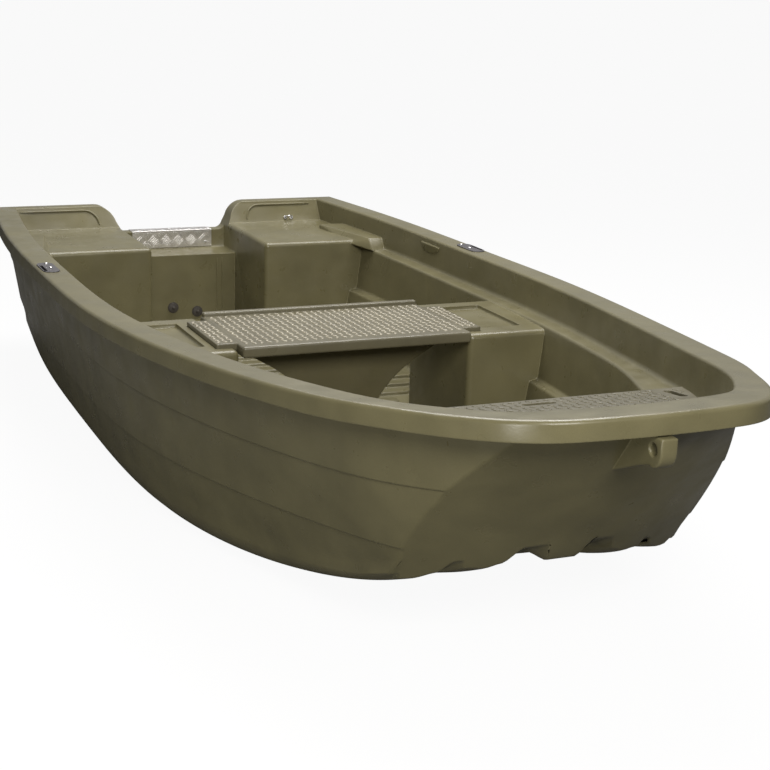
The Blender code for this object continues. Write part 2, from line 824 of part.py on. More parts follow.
def cockpit_space(name, grow, top):
    """Everything inside the liner, or inside its outer face when grown by the skin."""
    space = loft(name, cockpit_rows(grow, top))
    stern_low = (-TOOL_SIDE, STERN_BOX_HALF_GAP, TOOL_FOOT)
    stern_high = (STERN_BOX_FRONT, TOOL_SIDE, -STERN_BOX_DEPTH)
    for tool in mirrored_boxes("stern_box", stern_low, stern_high, grow, BOX_RADIUS):
        combine(space, tool, "DIFFERENCE")
    mid_top = mid_box_top()
    mid_low = (MID_BOX_AFT, MID_BOX_HALF_GAP, TOOL_FOOT)
    mid_high = (MID_BOX_AFT + MID_BOX_LENGTH, TOOL_SIDE, mid_top)
    for tool in mirrored_boxes("mid_box", mid_low, mid_high, grow, BOX_RADIUS):
        combine(space, tool, "DIFFERENCE")
    for side in (-1, 1):
        y_in = MID_BOX_HALF_GAP + THWART_TAB + TRAY_GAP
        y = sorted((side * (y_in - grow), side * (y_in + TRAY_WIDTH + grow)))
        tray = box("tray", (TRAY_AFT - grow, y[0], mid_top - TRAY_DEPTH - grow),
                   (TRAY_AFT + TRAY_LENGTH + grow, y[1], mid_top + TOOL_PAST), radius=TRAY_RADIUS)
        combine(space, tray, "UNION")
        y = sorted((side * (MID_BOX_HALF_GAP - TOOL_PAST),
                    side * (MID_BOX_HALF_GAP + THWART_TAB + LOOSE + grow)))
        aft = THWART_AFT + THWART_TAB_INSET - LOOSE - grow
        fore = THWART_AFT + THWART_WIDTH - THWART_TAB_INSET + LOOSE + grow
        seat = box("tab_seat", (aft, y[0], thwart_seat_height() - FIT - grow),
                   (fore, y[1], mid_top + TOOL_PAST))
        combine(space, seat, "UNION")
    for side in (-1, 1):
        combine(space, stern_strip(side, grow), "DIFFERENCE")
    well = box("well", (SHOULDER_X - grow, -STERN_BOX_HALF_GAP - grow, -WELL_DEPTH - grow),
               (TRANSOM_WALL_X + WELL_REACH, STERN_BOX_HALF_GAP + grow, -STERN_BOX_DEPTH))
    combine(space, well, "UNION")
    aft = -TOOL_PAST if grow == 0 else HULL_SKIN / 6
    combine(space, cutout_tool("cutout", grow, top, aft, TRANSOM_WALL_X), "UNION")
    return space


def hull_of(name, points):
    """Closed convex body round the points."""
    bm = bmesh.new()
    for point in points:
        bm.verts.new(place(*point))
    made = bmesh.ops.convex_hull(bm, input=bm.verts)
    bmesh.ops.delete(bm, geom=made["geom_interior"], context="VERTS")
    bmesh.ops.recalc_face_normals(bm, faces=bm.faces)
    mesh = bpy.data.meshes.new(name)
    bm.to_mesh(mesh)
    bm.free()
    return add_object(name, mesh, "cutters")


def stern_strip(side, shrink):
    """Raised strip along the side of a stern box, wedge shaped at its fore end."""
    crown = -STERN_BOX_DEPTH + STRIP_HEIGHT - shrink
    root = -STERN_BOX_DEPTH - STRIP_HEIGHT
    toe = crown - STRIP_DROP
    aft = STRIP_AFT + shrink
    fore = STRIP_FORE - shrink
    outer = half_beam(STRIP_FORE)
    points = [(aft, STRIP_AFT_Y + shrink, crown), (fore, STRIP_FORE_Y + shrink, crown),
              (aft, outer, crown), (fore, outer, crown),
              (aft, STRIP_AFT_Y + shrink, root), (STERN_BOX_FRONT, STRIP_FOOT_Y + shrink, root),
              (fore + STRIP_TOE, STRIP_FORE_Y + shrink, toe), (fore + STRIP_TOE, outer, toe),
              (aft, outer, root), (fore, outer, toe)]
    return hull_of("stern_strip", [(x, side * y, z) for x, y, z in points])


def wall_boss(side):
    """Round-bottomed boss that follows the inner wall under the gunwale cap."""
    outline = [(BOSS_X + BOSS_HALF_WIDTH, -BOSS_TOP_DEPTH)]
    for i in range(9):
        angle = math.pi * i / 8
        outline.append((BOSS_X + BOSS_HALF_WIDTH * math.cos(angle),
                        -BOSS_TOP_DEPTH - (BOSS_DEPTH - BOSS_TOP_DEPTH) * math.sin(angle)))
    outline = outline[1:]
    points = []
    for off in (BOSS_ROOT, -BOSS_PROUD):
        for x, z in outline:
            points.append(place(x, side * (half_beam(x) - cap_inset(x) + off), sheer(x) + z))
    n = len(outline)
    faces = [tuple(range(n)), tuple(range(2 * n - 1, n - 1, -1))]
    for i in range(n):
        j = (i + 1) % n
        faces.append((i, i + n, j + n, j))
    return add_object("wall_boss", mesh_from("wall_boss", points, faces), "cutters")


def mid_box_top():
    """Flat top of the mid boxes, just under the ledge beside them."""
    return sheer(MID_BOX_AFT) - LEDGE_DEPTH - MID_BOX_SET_DOWN


def thwart_seat_height():
    return mid_box_top() - TAB_SEAT_DEPTH


def overhang(x):
    """How far the gunwale stands out over the hull near the bow, past its usual lip."""
    return BOW_OVERHANG * ease(OVERHANG_START, OVERHANG_FULL, x)


def gunwale_cap():
    """Rolled cap that runs round the whole boat, as a ring of its own section."""
    r = CAP_EDGE_RADIUS
    section = [(0.0, -CAP_SKIRT)]
    for i in range(4):
        angle = math.pi / 2 * i / 3
        section.append((r - r * math.cos(angle), -r + r * math.sin(angle)))
    section += [(CAP_WIDTH + CAP_REACH, 0.0), (CAP_WIDTH + CAP_REACH, -CAP_SKIN)]
    bend = CAP_SKIN / 5
    section += [(r + bend, -CAP_SKIN), (CAP_SKIN, -r - bend), (CAP_SKIN, -CAP_SKIRT)]
    loops = []
    for inset, drop in section:
        share = inset / CAP_WIDTH
        loops.append(plan_loop(inset, GUNWALE_LENGTH - share * BOW_CAP_WIDTH,
                               lambda x, s=share: s * CAP_WIDTH - (1 - s) * overhang(x),
                               CAP_CORNER_RADIUS, lambda x, d=drop: sheer(x) + d, RIM_BULGE))
    return loft("gunwale_cap", loops, ring=True)


def inner_liner(finish):
    """Cockpit moulding with the gunwale cap, boxes, ledges and ribbed floor."""
    liner = cockpit_space("inner_liner", LINER_SKIN, RIM_HEIGHT)
    collection("cutters").objects.unlink(liner)
    collection(BOAT).objects.link(liner)
    liner.hide_render = False
    liner.display_type = "TEXTURED"
    combine(liner, gunwale_cap(), "UNION")
    combine(liner, cockpit_space("cockpit_inside", 0.0, OPEN_TOP), "DIFFERENCE")
    for rib in floor_ribs():
        combine(liner, rib, "UNION")
    for side in (-1, 1):
        combine(liner, wall_boss(side), "UNION")
    cut_socket_seats(liner)
    for y, depth in ((UPPER_DRAIN_Y, UPPER_DRAIN_DEPTH), (LOWER_DRAIN_Y, LOWER_DRAIN_DEPTH)):
        hole = rod("drain_hole", (TRANSOM_WALL_X - TOOL_PAST, y, -depth), (1, 0, 0), DRAIN_RADIUS + FIT,
                   2 * TOOL_PAST)
        combine(liner, hole, "DIFFERENCE")
    for y in (-PLATE_SCREW_Y, PLATE_SCREW_Y):
        z = -CUT_DEPTH - PLATE_SCREW_DROP
        hole = rod("screw_hole", (SHOULDER_X - TOOL_PAST / 2, y, z), (1, 0, 0), SCREW_RADIUS + FIT,
                   TOOL_PAST, 12)
        combine(liner, hole, "DIFFERENCE")
    smooth(liner, 28)
    return dress(liner, finish)


def floor_ribs():
    """Cross ribs on the cockpit floor, on a regular pitch."""
    first = STERN_BOX_FRONT + RIB_PITCH
    count = int((RIB_LAST_X - first) / RIB_PITCH)
    for i in range(count):
        x = first + i * RIB_PITCH
        half = half_beam(x) - ledge_inset(x) - RIB_END_GAP
        if MID_BOX_AFT - RIB_WIDTH < x < MID_BOX_AFT + MID_BOX_LENGTH + RIB_WIDTH:
            half = MID_BOX_HALF_GAP - BOX_RADIUS
        root = floor_height(x) - 0.4 * LINER_SKIN
        crown = floor_height(x) + RIB_HEIGHT
        outline = [(x - RIB_WIDTH / 2, root), (x - RIB_WIDTH / 2 + RIB_CHAMFER, crown),
                   (x + RIB_WIDTH / 2 - RIB_CHAMFER, crown), (x + RIB_WIDTH / 2, root)]
        yield prism("rib", outline, -half, half, "xz")


def socket_centre(side):
    y = half_beam(SOCKET_X) - SOCKET_INSET
    return SOCKET_X, side * y, sheer(SOCKET_X)


def stadium(length, width, steps=5):
    """Outline with straight sides and round ends."""
    radius = width / 2
    straight = length / 2 - radius
    points = []
    for end, turn in ((1, -math.pi / 2), (-1, math.pi / 2)):
        for i in range(steps + 1):
            angle = turn + math.pi * i / steps
            points.append((end * straight + radius * math.cos(angle), radius * math.sin(angle)))
    return points


def socket_screws(side, z):
    """Seats of the two screws of a rowlock plate."""
    x, y, _ = socket_centre(side)
    return [(x + along, y - side * SOCKET_SCREW_OFFSET_Y, z) for along in SOCKET_SCREWS]


def slot_body(name, side, length, width, low, high):
    """Upright block with round ends, centred on the rowlock slot."""
    x, y, _ = socket_centre(side)
    outline = [(x + SLOT_OFFSET_X + a, y + side * SLOT_OFFSET_Y + b) for a, b in stadium(length, width)]
    return prism(name, outline, low, high, "xy")


def cut_socket_seats(liner):
    """Shallow recess, slot and screw holes in each gunwale."""
    for side in (-1, 1):
        x, y, z = socket_centre(side)
        reach = LOOSE
        outline = [(x + a, y + b) for a, b in stadium(SOCKET_LENGTH + reach, SOCKET_WIDTH + reach)]
        recess = prism("recess", outline, z - SOCKET_SEAT, z + TOOL_PAST, "xy")
        combine(liner, recess, "DIFFERENCE")
        grow = 2 * (SLOT_WALL + FIT)
        slot = slot_body("slot_hole", side, SLOT_LENGTH + grow, SLOT_WIDTH + grow, z - TOOL_PAST,
                         z + TOOL_PAST)
        combine(liner, slot, "DIFFERENCE")
        for start in socket_screws(side, z + SCREW_LENGTH):
            hole = rod("screw_hole", start, (0, 0, -1), SCREW_RADIUS + FIT, 3 * SCREW_LENGTH, 12)
            combine(liner, hole, "DIFFERENCE")


def socket_top():
    return sheer(SOCKET_X) - SOCKET_SEAT + FIT + SOCKET_PLATE


def rowlock_socket(side, finish):
    """Plate with round ends over a long open pocket for the rowlock's tongue."""
    x, y, _ = socket_centre(side)
    word = "port" if side > 0 else "starboard"
    top = socket_top()
    low = top - SOCKET_PLATE
    outline = [(x + a, y + b) for a, b in stadium(SOCKET_LENGTH, SOCKET_WIDTH)]
    plate = prism("rowlock_socket_" + word, outline, low, top, "xy", BOAT)
    wall = 2 * SLOT_WALL
    pocket = slot_body("pocket", side, SLOT_LENGTH + wall, SLOT_WIDTH + wall, low - SLOT_DEPTH, low + FIT)
    combine(plate, pocket, "UNION")
    slot = slot_body("slot", side, SLOT_LENGTH, SLOT_WIDTH, low - 2 * SLOT_DEPTH, top + SLOT_DEPTH)
    combine(plate, slot, "DIFFERENCE")
    for start in socket_screws(side, top + SCREW_LENGTH):
        hole = rod("hole", start, (0, 0, -1), SCREW_RADIUS + FIT, 2 * SCREW_LENGTH, 12)
        combine(plate, hole, "DIFFERENCE")
    smooth(plate)
    return dress(plate, finish)


def mooring_eye(finish):
    """Small bow on two round feet, on the inner face of the port shoulder."""
    lean = (SHOULDER_FOOT_X - SHOULDER_X) / (LEDGE_DEPTH - CORNER_DROP + RIM_HEIGHT)
    face_x = SHOULDER_X + lean * (EYE_DEPTH + RIM_HEIGHT) + 2 * FIT
    outward = Vector((1.0, 0.0, lean)).normalized()
    eye = None
    for side in (-1, 1):
        start = (face_x, EYE_Y + side * EYE_SPREAD / 2, -EYE_DEPTH)
        foot = rod("foot", start, outward, EYE_FOOT_RADIUS, EYE_FOOT_HEIGHT, 16, BOAT)
        if eye is None:
            eye = foot
            eye.name = "mooring_eye"
        else:
            combine(eye, foot, "UNION")
    curve = bpy.data.curves.new("eye_bow", "CURVE")
    curve.dimensions = "3D"
    curve.bevel_depth = EYE_ROD_RADIUS
    curve.bevel_resolution = 2
    curve.use_fill_caps = True
    line = curve.splines.new("POLY")
    steps = 8
    line.points.add(steps)
    root = place(face_x, EYE_Y, -EYE_DEPTH) + outward * (0.5 * EYE_FOOT_HEIGHT)
    for i in range(steps + 1):
        angle = math.pi * i / steps
        across = Vector((0.0, -math.cos(angle) * EYE_SPREAD / 2, 0.0))
        point = root + across + outward * (EYE_REACH * math.sin(angle))
        line.points[i].co = (*point, 1.0)
    bow = bpy.data.objects.new("eye_bow", curve)
    collection("cutters").objects.link(bow)
    bpy.context.view_layer.update()
    graph = bpy.context.evaluated_depsgraph_get()
    mesh = bpy.data.meshes.new_from_object(bow.evaluated_get(graph))
    bpy.data.objects.remove(bow, do_unlink=True)
    combine(eye, add_object("eye_rod", mesh, "cutters"), "UNION")
    smooth(eye, 40)
    return dress(eye, finish)


def screw(name, seat, axis, finish):
    """Pan head screw whose head sits on the seat and whose shank runs along the axis."""
    outward = [-a for a in axis]
    r = SCREW_HEAD_RADIUS
    h = SCREW_HEAD_HEIGHT
    profile = [(0.0, -SCREW_LENGTH), (SCREW_RADIUS * 0.5, -SCREW_LENGTH + 0.0005),
               (SCREW_RADIUS, -SCREW_LENGTH + 0.002), (SCREW_RADIUS, FIT), (r, FIT),
               (r, FIT + 0.4 * h), (0.7 * r, FIT + 0.85 * h), (0.0, FIT + h)]
    return turned(name, profile, seat, outward, finish, 14)


def tread_plate(finish):
    """Folded plate over the motor pad: inner face, sill and a short outer lip."""
    t = PLATE_THICKNESS
    inner = SHOULDER_X + FIT
    outer = -FIT
    sill = -CUT_DEPTH + FIT
    low = -CUT_DEPTH - PLATE_DROP
    lip = -CUT_DEPTH - PLATE_LIP
    outline = [(inner, low), (inner + t, low), (inner + t, sill + 0.6 * t), (inner + 0.4 * t, sill + t),
               (outer - 0.4 * t, sill + t), (outer - t, sill + 0.6 * t), (outer - t, lip), (outer, lip),
               (outer, sill), (inner, sill)]
    plate = prism("tread_plate", outline, -PLATE_HALF_WIDTH, PLATE_HALF_WIDTH, "xz", BOAT)
    for y in (-PLATE_SCREW_Y, PLATE_SCREW_Y):
        z = -CUT_DEPTH - PLATE_SCREW_DROP
        hole = rod("hole", (inner - SCREW_LENGTH, y, z), (1, 0, 0), SCREW_RADIUS + FIT, 2 * SCREW_LENGTH, 12)
        combine(plate, hole, "DIFFERENCE")
    return dress(plate, finish)


def thwart(finish):
    """Seat board: a tray turned over, with lips, tabs and ribs underneath."""
    top = thwart_seat_height() + THWART_TAB_THICKNESS
    half = MID_BOX_HALF_GAP - 2 * LOOSE
    low = top - THWART_HEIGHT
    fore = THWART_AFT + THWART_WIDTH
    board = box("mid_thwart", (THWART_AFT, -half, low), (fore, half, top), BOAT, radius=THWART_EDGE)
    tab_aft = THWART_AFT + THWART_TAB_INSET
    tab_fore = fore - THWART_TAB_INSET
    reach = MID_BOX_HALF_GAP + THWART_TAB
    tabs = box("tabs", (tab_aft, -reach, thwart_seat_height()), (tab_fore, reach, top - THWART_TAB_SET_DOWN),
               radius=THWART_TAB_EDGE)
    combine(board, tabs, "UNION")
    lip_aft = THWART_AFT + THWART_LIP_INSET
    lip_half = half - THWART_LIP_END_GAP
    lip = box("lip", (lip_aft, -lip_half, top - THWART_LIP_ROOT),
              (lip_aft + THWART_LIP_WIDTH, lip_half, top + THWART_LIP), radius=THWART_LIP_RADIUS)
    combine(board, lip, "UNION")
    s = THWART_SKIN
    inner_length = 2 * half - 2 * s
    bay = (inner_length - (THWART_BAYS - 1) * s) / THWART_BAYS
    for i in range(THWART_BAYS):
        y = -half + s + i * (bay + s)
        pocket = box("pocket", (THWART_AFT + s, y, low - s), (fore - s, y + bay, top - s))
        combine(board, pocket, "DIFFERENCE")
    smooth(board)
    return dress(board, finish)


def support_half(height, foot, top):
    share = (height - foot) / (top - foot)
    wide = MID_BOX_HALF_GAP - SUPPORT_TOP_GAP
    return SUPPORT_HALF_FOOT + (wide - SUPPORT_HALF_FOOT) * share ** SUPPORT_POWER


def thwart_support(finish):
    """Flared panel that stands on the floor and carries the middle of the thwart."""
    foot = floor_height(SUPPORT_X) + RIB_HEIGHT + FIT
    under = thwart_seat_height() + THWART_TAB_THICKNESS - THWART_HEIGHT - FIT
    right = []
    for i in range(11):
        z = foot + (under - foot) * i / 10
        right.append((support_half(z, foot, under), z))
    left = [(-y, z) for y, z in reversed(right)]
    panel = prism("thwart_support", right + left, SUPPORT_X, SUPPORT_X + SUPPORT_THICKNESS, "yz", BOAT)
    foot_bar = box("foot_bar", (SUPPORT_X - SUPPORT_FOOT_REACH, -SUPPORT_HALF_FOOT, foot),
                   (SUPPORT_X + SUPPORT_FOOT_REACH, SUPPORT_HALF_FOOT, foot + SUPPORT_THICKNESS))
    combine(panel, foot_bar, "UNION")
    smooth(panel)
    return dress(panel, finish)


def bow_seat_under(x):
    """Underside of the seat board, straight from its aft edge to its fore edge."""
    aft_z = sheer(BOW_SEAT_AFT)
    fore_z = sheer(BOW_SEAT_FORE)
    share = (x - BOW_SEAT_AFT) / BOW_SEAT_LENGTH
    return aft_z + (fore_z - aft_z) * share - LEDGE_DEPTH + BOW_SEAT_REST


def bow_seat(finish):
    """Tapered tray turned over, with three grip slots and hollows underneath."""
    fore = BOW_SEAT_FORE
    half = []
    for i in range(7):
        x = BOW_SEAT_AFT + BOW_SEAT_LENGTH * i / 6
        half.append((x, half_beam(x) - BOW_SEAT_INSET))
    half[-1] = (fore - 0.5 * BOW_SEAT_CORNER, half[-1][1])
    half.append((fore, half[-1][1] - BOW_SEAT_CORNER))
    loops = []
    edge = BOW_SEAT_EDGE
    for rise, pull in ((0.0, 0.0), (BOW_SEAT_THICKNESS - edge, 0.0), (BOW_SEAT_THICKNESS, edge)):
        loop = [(x + (pull if i == 0 else -pull if i >= 7 else 0), -y + pull, bow_seat_under(x) + rise)
                for i, (x, y) in enumerate(half)]
        loop += [(x, -y, z) for x, y, z in reversed(loop)]
        loops.append(loop)
    seat = loft("bow_seat", loops, into=BOAT)
    slots = [(BOW_SEAT_AFT + GRIP_MIDDLE_X, 0.0, GRIP_WIDTH, GRIP_LENGTH)]
    side_x = BOW_SEAT_AFT + GRIP_SIDE_X
    side_y = half_beam(side_x) - BOW_SEAT_INSET - GRIP_SIDE_INSET
    for side in (-1, 1):
        slots.append((side_x, side * side_y, GRIP_LENGTH, GRIP_WIDTH))
    for x, y, length, width in slots:
        low = bow_seat_under(x) - BOW_SEAT_THICKNESS
        high = low + 3 * BOW_SEAT_THICKNESS
        slot = box("slot", (x - length / 2, y - width / 2, low), (x + length / 2, y + width / 2, high),
                   radius=GRIP_WIDTH / 5)
        combine(seat, slot, "DIFFERENCE")
    bay = (BOW_SEAT_LENGTH - 2 * SEAT_POCKET_ENDS - (SEAT_POCKET_ROWS - 1) * BOW_SEAT_SKIN) / SEAT_POCKET_ROWS
    for row in range(SEAT_POCKET_ROWS):
        x_low = BOW_SEAT_AFT + SEAT_POCKET_ENDS + row * (bay + BOW_SEAT_SKIN)
        x_high = x_low + bay
        reach = half_beam(x_high) - BOW_SEAT_INSET - SEAT_POCKET_SIDE_WALL
        for side in (-1, 1):
            crown = BOW_SEAT_THICKNESS - BOW_SEAT_SKIN
            outline = [(x, bow_seat_under(x) + rise) for x, rise in
                       ((x_low, -BOW_SEAT_SKIN), (x_low, crown), (x_high, crown), (x_high, -BOW_SEAT_SKIN))]
            y = sorted((side * GRIP_LENGTH * 0.62, side * reach))
            combine(seat, prism("pocket", outline, y[0], y[1], "xz"), "DIFFERENCE")
    smooth(seat)
    return dress(seat, finish)


def drain(word, y, depth, tube_finish, plug_finish):
    """Tube through the stern with an inner flange, its outer nut and its plug."""
    z = -depth
    start = transom_face(z) - TRANSOM_RAKE * DRAIN_FLANGE - DRAIN_FLANGE_THICKNESS - DRAIN_TAIL
    wall = TRANSOM_WALL_X
    length = wall - start
    r = DRAIN_RADIUS
    bore = DRAIN_BORE
    flange = DRAIN_FLANGE
    t = DRAIN_FLANGE_THICKNESS
    gap = FIT
    profile = [(bore, 0.0), (r, 0.0), (r, length + gap), (flange, length + gap),
               (flange, length + gap + t), (bore, length + gap + t), (bore, 0.0)]
    turned("drain_tube_" + word, profile, (start, y, z), (1, 0, 0), tube_finish, 18)
    nut = [(r + FIT, -t), (flange, -t), (flange, 0.0), (r + FIT, 0.0), (r + FIT, -t)]
    nut_x = transom_face(z) - TRANSOM_RAKE * flange - 2 * FIT
    turned("drain_nut_" + word, nut, (nut_x, y, z), (1, 0, 0), tube_finish, 18)
    seat = wall + gap + t + FIT
    rim = flange - PLUG_RIM
    knob = PLUG_KNOB_RADIUS
    plug = [(0.0, -PLUG_REACH), (bore - PLUG_LEAD_TAPER, -PLUG_REACH), (bore - FIT, -PLUG_REACH + PLUG_LEAD),
            (bore - FIT, 0.0), (rim, 0.0), (rim, PLUG_RIM), (PLUG_KNOB_FOOT, PLUG_DOME),
            (knob, PLUG_KNOB_HEIGHT - FIT), (0.0, PLUG_KNOB_HEIGHT)]
    turned("drain_plug_" + word, plug, (seat, y, z), (1, 0, 0), plug_finish, 18)


def transom_core(finish):
    """Stiffening board inside the motor pad, with clear holes for the plate screws."""
    low = -WELL_DEPTH + CORE_FOOT_GAP
    high = -CUT_DEPTH - LINER_SKIN - FIT
    x_low = transom_face(low) + HULL_SKIN + 2 * FIT
    x_high = SHOULDER_X - LINER_SKIN - FIT
    core = box("transom_core", (x_low, -CORE_HALF_WIDTH, low), (x_high, CORE_HALF_WIDTH, high), BOAT)
    for y in (-PLATE_SCREW_Y, PLATE_SCREW_Y):
        z = -CUT_DEPTH - PLATE_SCREW_DROP
        hole = rod("hole", (-TOOL_PAST, y, z), (1, 0, 0), SCREW_RADIUS + FIT, 3 * TOOL_PAST, 12)
        combine(core, hole, "DIFFERENCE")
    return dress(core, finish)


def foam_block(name, low, high, finish):
    """Buoyancy foam bonded under the top of a box."""
    block = box(name, low, high, BOAT)
    return dress(block, finish)


def foam_blocks(finish):
    clear = max(LINER_SKIN, BOX_RADIUS) + LOOSE
    for side, word in ((-1, "starboard"), (1, "port")):
        y = sorted((side * (STERN_BOX_HALF_GAP + clear), side * FOAM_STERN_REACH))
        top = -STERN_BOX_DEPTH - LINER_SKIN - FIT
        foam_block("stern_foam_" + word, (TRANSOM_WALL_X, y[0], top - FOAM_HEIGHT),
                   (STERN_BOX_FRONT - clear, y[1], top), finish)
        y = sorted((side * (MID_BOX_HALF_GAP + clear), side * FOAM_MID_REACH))
        top = mid_box_top() - TRAY_DEPTH - LINER_SKIN - FIT
        foam_block("mid_foam_" + word, (MID_BOX_AFT + clear, y[0], top - FOAM_HEIGHT),
                   (MID_BOX_AFT + MID_BOX_LENGTH - clear, y[1], top), finish)


def build():
    clear_scene()
    olive = material("olive_polyethylene", (0.098, 0.086, 0.047), 0.38)
    board = material("olive_board", (0.115, 0.100, 0.060), 0.42)
    aluminium = material("tread_aluminium", (0.62, 0.61, 0.60), 0.35, 1.0)
    steel = material("stainless_steel", (0.55, 0.54, 0.53), 0.30, 1.0)
    grey = material("socket_metal", (0.20, 0.19, 0.20), 0.45, 0.8)
    black = material("black_plastic", (0.02, 0.02, 0.02), 0.5)
    foam = material("white_foam", (0.80, 0.79, 0.74), 0.95)
    wood = material("core_board", (0.42, 0.28, 0.15), 0.8)
    outer_hull(olive)
    inner_liner(olive)
    thwart(board)
    thwart_support(olive)
    bow_seat(board)
    tread_plate(aluminium)
    transom_core(wood)
    for number, y in enumerate((-PLATE_SCREW_Y, PLATE_SCREW_Y), 1):
        z = -CUT_DEPTH - PLATE_SCREW_DROP
        seat = (SHOULDER_X + FIT + PLATE_THICKNESS, y, z)
        screw("tread_plate_screw_%d" % number, seat, (-1, 0, 0), steel)
    for side, word in ((-1, "starboard"), (1, "port")):
        rowlock_socket(side, grey)
        seats = socket_screws(side, socket_top())
        for seat, place_word in zip(seats, ("aft", "fore")):
            screw("rowlock_screw_%s_%s" % (word, place_word), seat, (0, 0, -1), steel)
    mooring_eye(steel)
    drain("upper", UPPER_DRAIN_Y, UPPER_DRAIN_DEPTH, black, black)
    drain("lower", LOWER_DRAIN_Y, LOWER_DRAIN_DEPTH, black, black)
    foam_blocks(foam)


build()
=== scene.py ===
"""Looks of the moulded rowing boat: finishes, fine pieces, camera, floor and light."""

import math

import bmesh
import bpy
import numpy as np
from mathutils import Matrix, Vector

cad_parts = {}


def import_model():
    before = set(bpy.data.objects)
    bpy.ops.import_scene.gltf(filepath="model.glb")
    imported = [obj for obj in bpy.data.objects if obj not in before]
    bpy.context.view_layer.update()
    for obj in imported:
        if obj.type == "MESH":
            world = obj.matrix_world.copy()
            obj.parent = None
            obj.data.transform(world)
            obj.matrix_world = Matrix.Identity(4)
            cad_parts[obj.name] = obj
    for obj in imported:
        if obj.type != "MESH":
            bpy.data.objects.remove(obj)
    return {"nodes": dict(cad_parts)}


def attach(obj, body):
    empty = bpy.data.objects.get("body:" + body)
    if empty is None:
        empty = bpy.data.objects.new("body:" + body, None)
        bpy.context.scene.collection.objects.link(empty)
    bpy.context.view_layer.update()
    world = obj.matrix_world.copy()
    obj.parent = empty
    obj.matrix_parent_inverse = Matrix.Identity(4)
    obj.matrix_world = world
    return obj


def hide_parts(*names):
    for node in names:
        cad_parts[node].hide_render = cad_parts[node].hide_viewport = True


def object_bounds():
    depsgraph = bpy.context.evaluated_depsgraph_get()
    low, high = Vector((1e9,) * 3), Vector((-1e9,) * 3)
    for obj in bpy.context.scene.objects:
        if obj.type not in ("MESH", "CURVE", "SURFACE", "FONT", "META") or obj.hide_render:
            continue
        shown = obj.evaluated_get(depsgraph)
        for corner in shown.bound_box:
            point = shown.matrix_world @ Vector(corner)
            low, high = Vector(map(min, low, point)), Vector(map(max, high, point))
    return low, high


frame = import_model()
NODES = frame["nodes"]
CAD_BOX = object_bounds()

# Where the boat's own coordinates lie in the frame: stern at x 0, gunwale at z 0
LENGTH = 3.557
DEPTH = 0.535


def place(x, y, z):
    return Vector((x - LENGTH / 2, y, z + DEPTH))


# Where noise starts and ends, and how far a normal turns at a sharp edge
NOISE_SPAN = (0.3, 0.7)
EDGE_TURN = (0.995, 0.80)

# Grain of the finishes: noise cycles in a metre, heights and edge radii in metres
PATCH_SCALE = 7.0
SPECK_SCALE = 520.0
GLOSS_SCALE = 16.0
SWELL_SCALE = 5.0
SWELL_HEIGHT = 0.009
PEEL_SCALE = 240.0
PEEL_HEIGHT = 0.00012
GRAIN_SCALE = 900.0
GRAIN_HEIGHT = 0.0001
TARNISH_SCALE = 60.0
MOTTLE_SCALE = 300.0
DIMPLE_SCALE = 700.0
PLASTIC_EDGE = 0.0045
SMALL_EDGE = 0.0008


# Node helpers

def new_material(name):
    made = bpy.data.materials.new(name)
    made.use_nodes = True
    return made


def feed(tree, made, values):
    """Gives a node's inputs their values or links."""
    for key, value in values.items():
        if isinstance(value, bpy.types.NodeSocket):
            tree.links.new(value, made.inputs[key])
        else:
            made.inputs[key].default_value = value


def node(tree, kind, values=None, **settings):
    """A shader node with its settings and its input values or links."""
    made = tree.nodes.new("ShaderNode" + kind)
    for key, value in settings.items():
        setattr(made, key, value)
    feed(tree, made, values or {})
    return made


def noise(tree, where, scale, detail, distortion=0.0):
    return node(tree, "TexNoise", {"Vector": where, "Scale": scale, "Detail": detail,
                                   "Distortion": distortion}).outputs["Fac"]


def ramped(tree, value, low, high, to_low, to_high):
    made = node(tree, "MapRange", {"Value": value, "From Min": low, "From Max": high,
                                   "To Min": to_low, "To Max": to_high})
    return made.outputs["Result"]


def varied(tree, where, scale, detail, low, high, distortion=0.0):
    """Noise spread out between two values."""
    return ramped(tree, noise(tree, where, scale, detail, distortion), *NOISE_SPAN, low, high)


def math_node(tree, operation, a, b):
    return node(tree, "Math", {0: a, 1: b}, operation=operation).outputs[0]


def scaled(tree, color, factor):
    made = node(tree, "VectorMath", {0: color, "Scale": factor}, operation="SCALE")
    return made.outputs["Vector"]


def mixed(tree, factor, body, color):
    made = node(tree, "Mix", {"Factor": factor, 6: body, 7: (*color, 1.0)}, data_type="RGBA")
    return made.outputs[2]


def bumped(tree, height, distance, normal):
    values = {"Height": height, "Distance": distance, "Strength": 1.0, "Normal": normal}
    return node(tree, "Bump", values).outputs["Normal"]


def edge_normal(tree, radius):
    return node(tree, "Bevel", {"Radius": radius}, samples=6).outputs["Normal"]


def edge_share(tree, normal):
    """How near a point is to a sharp edge, from 0 to 1, by how far its normal is rounded."""
    true = node(tree, "NewGeometry").outputs["True Normal"]
    near = node(tree, "VectorMath", {0: normal, 1: true}, operation="DOT_PRODUCT").outputs["Value"]
    return ramped(tree, near, *EDGE_TURN, 0.0, 1.0)


def principled(name):
    """A new material with its tree, its shader and the object coordinates."""
    made = new_material(name)
    tree = made.node_tree
    return made, tree, tree.nodes["Principled BSDF"], node(tree, "TexCoord").outputs["Object"]


